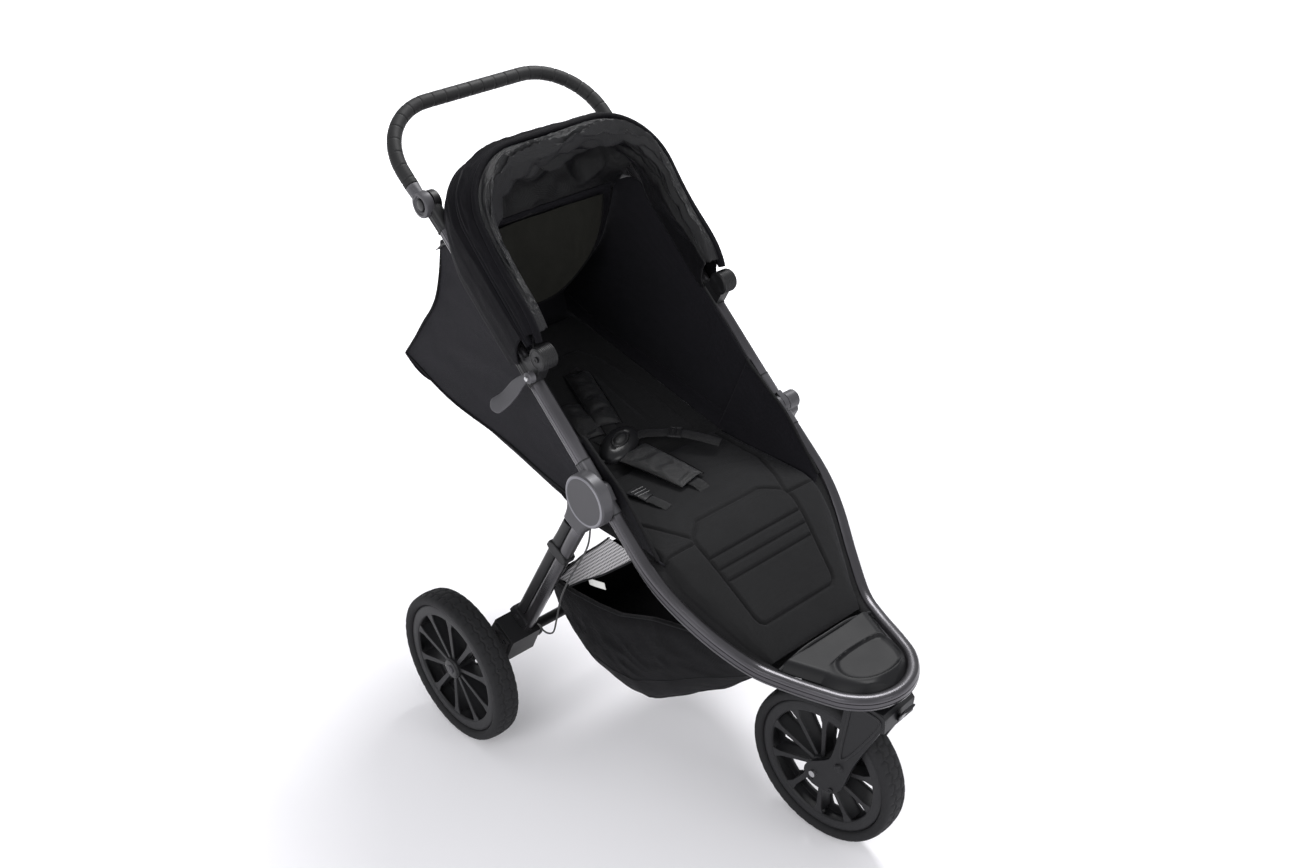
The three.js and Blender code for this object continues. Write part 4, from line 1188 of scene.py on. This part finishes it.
def seat_skirts():
    """Cloth from the edges of the leg rest down to the inside of the rail."""
    route = [np.array(p) for p in spline(rail_path(), 300)]
    reach = [p for p in route if p[0] > 0 and -600 < p[1] < -372]
    rail_line = curve_at(reach, 80)
    for name, side in SIDES:
        def shape(u, v):
            d = 2 + (LEG_LENGTH - 6) * u
            (y, z), out = seat_profile(d)
            edge = np.array([seat_half(d) - 3, y - 9 * out[0], z - 9 * out[1]])
            foot = rail_line(u) + np.array([-10.5, 0, 6])
            x, y, z = edge * (1 - v) + foot * v
            fold = 2.0 * ripple(u * 300, v * 40, 0, 45, side) * math.sin(math.pi * v)
            dip = 7.0 * math.sin(math.pi * v)
            return side * (x - dip * 0.5), y, z - dip * 0.4 + fold

        skirt = sheet("seat_skirt_" + name, shape, 70, 16, seat_cloth, "front_frame")


# ---------- side walls and rear panel ----------
WALL_BOTTOM = [(-176, 540), (-98, 549), (10, 567), (154, 580), (286, 620)]
WALL_REAR = [(286, 620), (250, 664), (213, 713), (186, 746), (166, 779), (148, 830), (134, 893)]


def coons(bottom, top, left, right, u, v):
    b, t, l, r = bottom(u), top(u), left(v), right(v)
    low_corners = (1 - u) * (1 - v) * bottom(0) + u * (1 - v) * bottom(1)
    corners = low_corners + (1 - u) * v * top(0) + u * v * top(1)
    return (1 - v) * b + v * t + (1 - u) * l + u * r - corners


def curve_at(points, count=60):
    dense = spline(points, count)

    def find(t):
        k = min(count - 1.001, max(0, t * (count - 1)))
        i = int(k)
        return dense[i] * (1 - (k - i)) + dense[i + 1] * (k - i)

    return find


def seat_sides():
    """Cloth wings rising from the seat's sides to the rails in front of the hubs."""
    low_line = curve_at([(-394, 508), (-330, 507), (-270, 505), (-210, 503), (-152, 500)])
    high_line = curve_at([(-389, 524), (-350, 566), (-308, 610), (-262, 640), (-214, 672)])
    for name, side in SIDES:
        def shape(u, v):
            y, z = low_line(u) * (1 - v) + high_line(u) * v
            fold = 1.6 * ripple(y, z, 0, 60, 3 + side) * math.sin(math.pi * v)
            return side * (168 + 14.5 * math.sin(v * math.pi / 2) + fold), y, z

        wing = sheet("seat_wing_" + name, shape, 60, 36, side_cloth, None)
        edge = [shape(t, 1) for t in np.linspace(0, 1, 50)]
        hem = piping("wing_binding_" + name, edge, 70, (2.2, 3.2, 10), None)
        for piece in (wing, hem):
            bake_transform(piece)


def gussets():
    """Loose cloth between the foot of each side wall and the backrest, and across its front."""
    low = curve_at(WALL_BOTTOM)
    for name, side in SIDES:
        def shape(u, v):
            y, z = low(u)
            wall = np.array([180.0, y, z + 7])
            board = np.array(on_back(167, (y - RECLINE[0]) / math.cos(math.radians(BACK_ANGLE)) + 2, 9.5))
            x, y, z = wall * (1 - v) + board * v
            return side * (x + 1.5 * math.sin(math.pi * v)), y, z - 4 * math.sin(math.pi * v)

        strip = sheet("back_gusset_" + name, shape, 80, 12, side_cloth, None, 1.4)
        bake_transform(strip)

    def across(u, v):
        x = (2 * u - 1) * 176
        y, z = np.array([-174.0, 519.0]) * (1 - v) + np.array([-140.0, 524.0]) * v
        return x, y, z - 5 * math.sin(math.pi * v)

    def behind(u, v):
        high = np.array([284.0, 622.0])
        low = np.array(on_back(0, 386, 2)[1:])
        y, z = high * (1 - v) + low * v
        return (2 * u - 1) * (187 - 12 * v), y, z - 8 * math.sin(math.pi * v)

    flap = sheet("rear_fold", behind, 40, 14, side_cloth, None)
    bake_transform(flap)

    fold = sheet("seat_fold", across, 40, 10, seat_cloth, "upper_frame")


def side_walls():
    top_line = [on_frame(-46, 5), on_frame(120, 6), on_frame(300, 6), on_frame(468, 6), (134, 893)]
    bottom, rear = curve_at(WALL_BOTTOM), curve_at(WALL_REAR)
    top = curve_at(top_line)
    front = curve_at([(-176, 540), (-240, 553), on_frame(-46, 5)])
    for name, side in SIDES:
        def shape(u, v):
            y, z = coons(bottom, top, front, rear, u, v)
            tuck = 181.5 + 7.0 * v ** 3
            fold = 2.4 * ripple(y * 0.5, z * 1.6, u * 20, 70, 5 + side) * (1 - v ** 4)
            belly = 3.0 * math.sin(math.pi * v) * math.sin(math.pi * u)
            return side * (tuck - belly + fold * 0.8), y, z

        piece = sheet("side_cloth_" + name, shape, 90, 56, side_cloth, "upper_frame")
        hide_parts("side_wall_" + name)
        edge = [(side * 182.0, *bottom(t)) for t in np.linspace(0, 1, 60)]
        edge += [(side * (182.0 + 4 * t), *rear(t)) for t in np.linspace(0.02, 1, 40)]
        piping("side_binding_" + name, edge, 150, (2.4, 3.6, 10), "upper_frame")


def rear_panel():
    rear = curve_at([(283, 618), (250, 662), (211, 713), (184, 746), (163, 779), (145, 830), (131, 893)])

    def shape(u, v):
        y, z = rear(v)
        x = (2 * u - 1) * 180
        sag = 6.0 * (1 - (2 * u - 1) ** 2)
        fold = 2.2 * ripple(x * 0.7, y, z * 1.4, 80, 11)
        return x, y + (sag + fold) * 0.85, z - (sag + fold) * 0.1

    piece = sheet("rear_cloth", shape, 60, 50, side_cloth, "upper_frame")
    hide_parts("rear_panel")

    def vent(u, v):
        half = 154 * math.sqrt(max(0.0004, 1 - v ** 2.2))
        x = (2 * u - 1) * half
        fold = 2.4 * ripple(x, v * 160, 0, 60, 31)
        return x, 124 + 8 * (1 - (x / 154) ** 2) + fold, 880 - 168 * v

    window = sheet("rear_vent", vent, 60, 50, vent_cloth, "upper_frame", 0.8)
    outline = [vent(0, t) for t in np.linspace(0, 1, 50)] + [vent(1, t) for t in np.linspace(0.98, 0, 50)]
    piping("vent_binding", outline, 130, (1.2, 3.4, 10), "upper_frame", up=(0, 1, 0))


seat_skirts()
seat_sides()
side_walls()
rear_panel()


# ---------- backrest and harness ----------
def on_back(x, along, above):
    a = math.radians(BACK_ANGLE)
    return (x, RECLINE[0] + along * math.cos(a) - above * math.sin(a),
            RECLINE[1] + along * math.sin(a) + above * math.cos(a))


BACK_OUT = (0, -math.sin(math.radians(BACK_ANGLE)), math.cos(math.radians(BACK_ANGLE)))


def backrest():
    def top(u, v):
        x = (2 * u - 1) * 173
        along = 3 + 392 * v
        crown = 3.5 * (1 - (2 * u - 1) ** 4) + 1.0 * ripple(x, along, 0, 55, 7)
        return on_back(x, along, 9 + crown), BACK_OUT

    piece = make("back_pad", *pillow(top, 80, 96, 18, 0.06), seat_cloth, "backrest", sharp=60,
                 slot="seat_cloth")
    simulate(piece, cap=4)

    def flat(co):
        a = math.radians(BACK_ANGLE)
        return co.x, (co.y - RECLINE[0]) * math.cos(a) + (co.z - RECLINE[1]) * math.sin(a)

    lines = [
        [(-128, 8), (-132, 150), (-118, 262), (-96, 300), (96, 300), (118, 262), (132, 150), (128, 8)],
        [(-70, 60), (-78, 250)], [(70, 60), (78, 250)],
    ]
    press(piece, flat, lines, depth=4.2, width=3.0, out=lambda co: BACK_OUT)
    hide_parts("backrest")


def pad_sleeve(name, start, end, width_start, width_end, thickness, body, node, base=9.0, up=6.0,
               point=on_back):
    """A padded webbing sleeve lying from start to end, each (x, along)."""
    a, b = np.array(start, float), np.array(end, float)
    run = b - a
    length = np.linalg.norm(run)
    across = np.array([run[1], -run[0]]) / length

    def top(u, v):
        width = width_start + (width_end - width_start) * v
        x, along = a + run * v + across * (2 * u - 1) * width / 2
        crown = thickness * 0.55 * (1 - (2 * u - 1) ** 2)
        wrinkle = 2.2 * math.sin(v * length / 6.4 + 3.0 * ripple(x, along, 0, 26, 2)) * (1 - (2 * u - 1) ** 2)
        lift = 2.5 * math.sin(math.pi * v)
        return point(x, along, base + up + crown + wrinkle + lift), BACK_OUT

    piece = make(name, *pillow(top, 22, 56, thickness, 0.16), pad_cloth, body, sharp=60, slot="seat_cloth")
    simulate(piece, cap=2.5)
    if node:
        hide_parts(node)
    edges = []
    for side in (0, 1):
        rows = [top(side, t)[0] for t in np.linspace(0, 1, 30)]
        edges.append(sweep(rows, oval(1.4, 1.4, 8), up=BACK_OUT))
    make(name + "_piping", *join(*edges), binding, body, sharp=60, slot="seat_cloth")


def harness():
    pad_sleeve("sleeve_left", (45, 238), (0, 96), 52, 52, 10, "backrest", "shoulder_pad_left", up=9)
    pad_sleeve("sleeve_right", (-24, 176), (-40, 84), 48, 46, 9, "backrest", "shoulder_pad_right", up=6)

    def web(name, points, body="backrest", width=WEB_WIDTH):
        return make(name, *strap(spline(points, 50), width, 1.6), webbing, body, CLOTH_EDGE,
                    slot="seat_cloth")

    web("strap_left_top", [on_back(47, 246, 17), on_back(52, 270, 14), on_back(58, 300, 11),
                           on_back(60, 314, 5)])
    web("strap_left_low", [on_back(0, 100, 18), on_back(-8, 76, 19), on_back(-14, 56, 19)])
    web("strap_right_top", [on_back(-22, 182, 15), on_back(-30, 214, 13), on_back(-52, 262, 11),
                            on_back(-60, 306, 4)])
    web("strap_right_low", [on_back(-40, 88, 15), on_back(-36, 70, 18), on_back(-32, 56, 19)])

    dome = lathe([(0.01, 9.5), (12.5, 9.3), (13.6, 8.3), (14.6, 9.0), (20, 8.3), (26, 5.6), (29.4, 1.6),
                  (30, -2), (27.5, -5), (0.01, -5.5)], (0, 0, 0), 64)
    tilt = math.radians(BACK_ANGLE)

    def lay(v):
        flat = Vector((-v.y * 1.75, v.z * 0.98, v.x * 1.4))
        spun = Matrix.Rotation(math.radians(24), 3, "Z") @ flat
        x, y, z = on_back(-22 + spun.x, 42 + spun.y, 22 + spun.z)
        return Vector((x, y, z))

    puck = make("buckle_body", *moved(dome, lay), satin_plastic, "backrest", sharp=38, slot="black_plastic")
    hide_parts("harness_buckle")
    key = lathe([(0.01, 11.2), (6, 11.0), (9.5, 10.2), (10.8, 9.0), (10.8, 7.4), (0.01, 7.4)], (0, 0, 0), 48)
    press_key = make("buckle_key", *moved(key, lay), black_plastic, "buckle_button", sharp=38,
                     slot="black_plastic")
    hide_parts("buckle_button")

    waist = [on_back(2, 46, 20), (24, -120, 546), (44, -140, 549), (66, -164, 551), (88, -192, 547),
             (110, -226, 541)]
    left = web("waist_strap", waist, None)
    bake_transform(left)
    slide_points = [(52, -150, 552.5), (74, -176, 552.5)]
    run = np.array(slide_points[1]) - np.array(slide_points[0])
    frame_parts = []
    mid = (np.array(slide_points[0]) + np.array(slide_points[1])) / 2
    along = run / np.linalg.norm(run)
    over = np.cross(along, (0, 0, 1))
    for offset in (-9, 0, 9):
        c = mid + along * offset
        frame_parts.append(sweep(resample([c - over * 15.5, c + over * 15.5], 6), oval(2.0, 1.7, 10),
                                 up=(0, 0, 1)))
    for offset in (-14.5, 14.5):
        c = mid + over * offset
        frame_parts.append(sweep(resample([c - along * 10.5, c + along * 10.5], 6), oval(2.0, 1.9, 10),
                                 up=(0, 0, 1)))
    make("waist_slider", *join(*frame_parts), black_plastic, "upper_frame", sharp=40, slot="black_plastic")
    web("waist_strap_right", [on_back(-48, 40, 18), (-80, -122, 536), (-110, -136, 531), (-150, -146, 527)])

    def on_seat(x, along, above):
        return x, -along, 519 + above

    pad_sleeve("crotch_sleeve", (-15, 138), (2, 272), 74, 58, 10, "front_frame", "crotch_pad", base=3, up=12,
               point=on_seat)
    web("crotch_strap", [(-18, -118, 535), (-15, -136, 532), (-8, -200, 532), (1, -262, 532), (4, -284, 532),
                         (6, -302, 526)], "front_frame")
    ladder = sweep([(-92, -222, 530), (-88, -240, 531), (-84, -258, 530)], oval(12, 3.0, 16, 3.4),
                   up=(0, 0, 1))
    bars = [sweep([(-99, y, 533.4), (-73, y, 533.4)], oval(1.6, 1.6, 8), up=(0, 0, 1)) for y in
            (-230, -238, -246)]
    make("crotch_adjuster", *join(ladder, *bars), satin_plastic, "front_frame", sharp=40,
         slot="black_plastic")
    web("adjuster_strap", [(-86, -256, 530), (-82, -276, 531), (-76, -298, 528)], "front_frame", width=20)


gussets()
backrest()
harness()


# ---------- canopy ----------
def canopy_point(x, reach, degrees):
    a = math.radians(degrees)
    return x, CANOPY_PIVOT[0] + reach * math.cos(a), CANOPY_PIVOT[1] + reach * math.sin(a)


def sheet_of_arches(rows, start, seed, coarse, slant=0):
    """A curved sheet through nested arches: (angle of its leg at a reach, reach, half, corner, looseness)."""
    samples = 150
    arches = [(angle, arch(half, start, reach, corner, samples), loose)
              for angle, reach, half, corner, loose in rows]

    def shape(u, v):
        k = v * (len(arches) - 1)
        i = min(len(arches) - 2, int(k))
        t = k - i
        place = min(samples - 1.001, u * (samples - 1))
        j = int(place)
        f = place - j
        sides = []
        for angle, line, loose in arches[i:i + 2]:
            x, reach = line[j] * (1 - f) + line[j + 1] * f
            sides.append((angle(reach), x, reach, loose))
        angle, x, reach, loose = [(1 - t) * a + t * b for a, b in zip(*sides)]
        across = crumple(u * 260 + slant * v, v * 190, 46 * coarse, seed)
        across += 0.4 * crumple(u * 560, v * 260, 30 * coarse, seed + 5)
        free = min(1, reach / 150)
        grow = loose * across * free
        return canopy_point(x * (1 + 0.012 * grow), reach + 3.8 * grow, angle + 0.45 * grow)

    return shape


def canopy():
    def behind_rail(gap, top):
        def angle(reach):
            fade = min(1, max(0, (reach - 185) / 100))
            drop = gap + (top - gap) * fade * fade * (3 - 2 * fade)
            return FRAME_ANGLE - math.degrees(math.asin(min(0.93, drop / max(1, reach))))

        return angle

    def steady(angle, spread=0.0):
        return lambda reach: angle + spread * math.exp(-((reach / 90) ** 2))

    skin = sheet_of_arches([
        (behind_rail(66, 30), 344, 216, 118, 0.0), (behind_rail(50, 24), 350, 218, 120, 0.3),
        (behind_rail(28, 12), 354, 218, 120, 0.5), (steady(40.6), 352, 216, 120, 0.5),
        (steady(42.6), 345, 211, 118, 0.3),
        (steady(43.8, 3), 341, 208, 116, 0.1), (steady(45.6, 9), 349, 211, 118, 0.9),
        (steady(48.0, 17), 348, 208, 118, 1.0),
        (steady(50.2, 24), 342, 203, 116, 0.6), (steady(51.6, 28), 334, 198, 114, 0.0)], 40, 4, 1.0)
    outside = sheet("canopy_skin", skin, 190, 72, canopy_cloth, None, 1.4, "canopy_cloth")
    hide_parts("canopy_cloth_rear", "canopy_cloth_front")

    lining = sheet_of_arches([
        (steady(51.6, 28), 333, 197, 114, 0.0), (steady(53.4, 27), 318, 187, 108, 2.0),
        (steady(53.0, 24), 297, 176, 100, 3.6), (steady(50.6, 18), 290, 173, 98, 4.4),
        (steady(48.0, 12), 306, 180, 102, 3.4),
        (steady(45.0, 6), 298, 177, 98, 4.0), (steady(42.0), 314, 182, 100, 3.0),
        (behind_rail(47, 22), 334, 185, 104, 0.6)], 40, 21, 1.15, slant=260)
    inside = sheet("canopy_lining", lining, 200, 84, lining_cloth, None, 1.2, "canopy_cloth")

    for piece in (outside, inside):
        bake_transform(piece)

    crown = arch(203, 250, 348, 104, 100)

    def back(u, v):
        j = u * 98.9
        x, reach = crown[int(j)] * (1 - j % 1) + crown[int(j) + 1] * (j % 1)
        high = np.array(canopy_point(x, reach, 37.5))
        low = np.array([(2 * u - 1) * 197, 138, 878])
        x, y, z = low * (1 - v) + high * v
        fold = 9.0 * crumple(u * 360, v * 110, 60, 41) * math.sin(math.pi * v)
        return x, y + 6 * math.sin(math.pi * v) - fold, z

    rear = sheet("canopy_back", back, 90, 40, lining_cloth, None, 1.4, "canopy_cloth")
    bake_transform(rear)

    for name, body, angle, reach, half, corner, radius in (
            ("rear", "canopy_rear", steady(41.0), 351, 211, 118, 4.2),
            ("middle", "canopy_middle", steady(44.2, 3), 345, 208, 116, 5.4),
            ("front", "canopy_front", steady(51.6, 26), 336, 199, 114, 5.8)):
        line = [canopy_point(x, r, angle(r)) for x, r in arch(half, 26, reach, corner, 150)]
        up = (0, -math.sin(math.radians(angle(reach))), math.cos(math.radians(angle(reach))))
        cord = make("bow_piping_" + name, *sweep(line, oval(radius, radius, 16), up=up), canopy_cloth, body,
                    sharp=50, slot="canopy_cloth")
        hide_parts("canopy_bow_" + name)


canopy()


# ---------- basket ----------
def basket():
    # each row is y, rim z, bottom z, half-width at the rim, half-width at the bottom
    table = np.array([
        (-104, 336, 202, 176, 156), (-140, 340, 168, 184, 160), (-183, 346, 130, 187, 162),
        (-250, 357, 123, 188, 162), (-304, 370, 134, 188, 160), (-380, 404, 184, 184, 154),
        (-455, 414, 248, 166, 138), (-520, 384, 312, 138, 114), (-572, 376, 362, 112, 96),
    ], float)

    def section(u, y, rim, bottom, half, low_half):
        a = math.pi * u
        c, s = math.cos(a), math.sin(a)
        drop = abs(s) ** 0.55
        wide = half + (low_half - half) * drop
        x = -math.copysign(abs(c) ** 0.42, c) * wide
        z = rim - (rim - bottom) * drop
        sag = 7.0 * ripple(x, y * 0.8, z, 62, 13) * drop
        sag += 9.0 * crumple(x * 0.35 + y, z * 1.3, 44, 17) * drop * (1.25 - drop)
        return x * (1 + 0.006 * sag * (1 - drop * drop)), y, z + sag * 0.8

    def shape(u, v):
        if v < 0.16:
            k = v / 0.16
            y, rim, bottom, half, low_half = table[0]
            x, _, z = section(u, y, rim, bottom, half, low_half)
            return x * (0.55 + 0.45 * k), y + 6 * (1 - k), rim - 4 - (rim - 4 - z) * k
        t = (v - 0.16) / 0.84 * (table[-1, 0] - table[0, 0]) + table[0, 0]
        row = [np.interp(-t, -table[:, 0], table[:, k]) for k in range(1, 5)]
        return section(u, t, *row)

    shell = sheet("basket_bag", shape, 96, 84, basket_cloth, "front_frame", slot="basket_cloth")
    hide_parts("basket")
    for side in (0, 1):
        rim = [shape(side, t) for t in np.linspace(0.16, 1, 70)]
        piping("basket_rim_" + ("right", "left")[side], rim, 110, (2.6, 4.6, 12), "front_frame",
               "basket_cloth")
    for level in (0.16, 0.32):
        line = [shape(level, t) for t in np.linspace(0.16, 0.97, 60)]
        piping(f"basket_seam_{int(level * 100)}", line, 90, (1.6, 2.0, 8), "front_frame", "basket_cloth")

    for name, side in SIDES:
        low = curve_at([(-168, 350), (-204, 382), (-254, 422), (-300, 464), (-338, 500)])
        top = curve_at([(-132, 344), (-166, 388), (-205, 436), (-248, 480), (-270, 504)])
        left = curve_at([(-168, 350), (-132, 344)])
        right = curve_at([(-338, 500), (-270, 504)])

        def panel(u, v):
            y, z = coons(low, top, left, right, u, v)
            return side * (187.5 - 5 * math.sin(math.pi * v) - 4 * v + 1.2 * ripple(y, z, 0, 40, side)), y, z

        mesh = sheet("side_mesh_" + name, panel, 60, 30, mesh_cloth, "front_frame", 0.8, "basket_cloth")
        for edge in (0, 1):
            hem = [panel(t, edge) for t in np.linspace(0, 1, 50)]
            piping(f"mesh_hem_{name}_{edge}", hem, 60, (1.8, 3.4, 10), "front_frame", "basket_cloth")
    tag = [(-187.5, -222, 392), (-190.0, -240, 399), (-189.5, -266, 407)]
    make("basket_tag", *strap(spline(tag, 12), 13, 0.8, up=ALONG_X), label_cloth, "front_frame", sharp=60,
         slot="basket_cloth")


basket()


# ---------- the solids that show as they are ----------
def dress():
    looks = {
        "fork_mount": black_plastic, "steering_stem": bright_steel, "front_axle": bright_steel,
        "hinge_pin_right": bright_steel, "hinge_pin_left": bright_steel,
        "brake_pin_right": bright_steel, "brake_pin_left": bright_steel,
    }
    for name, material in looks.items():
        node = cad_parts[name]
        node.data.materials.clear()
        node.data.materials.append(material)


dress()
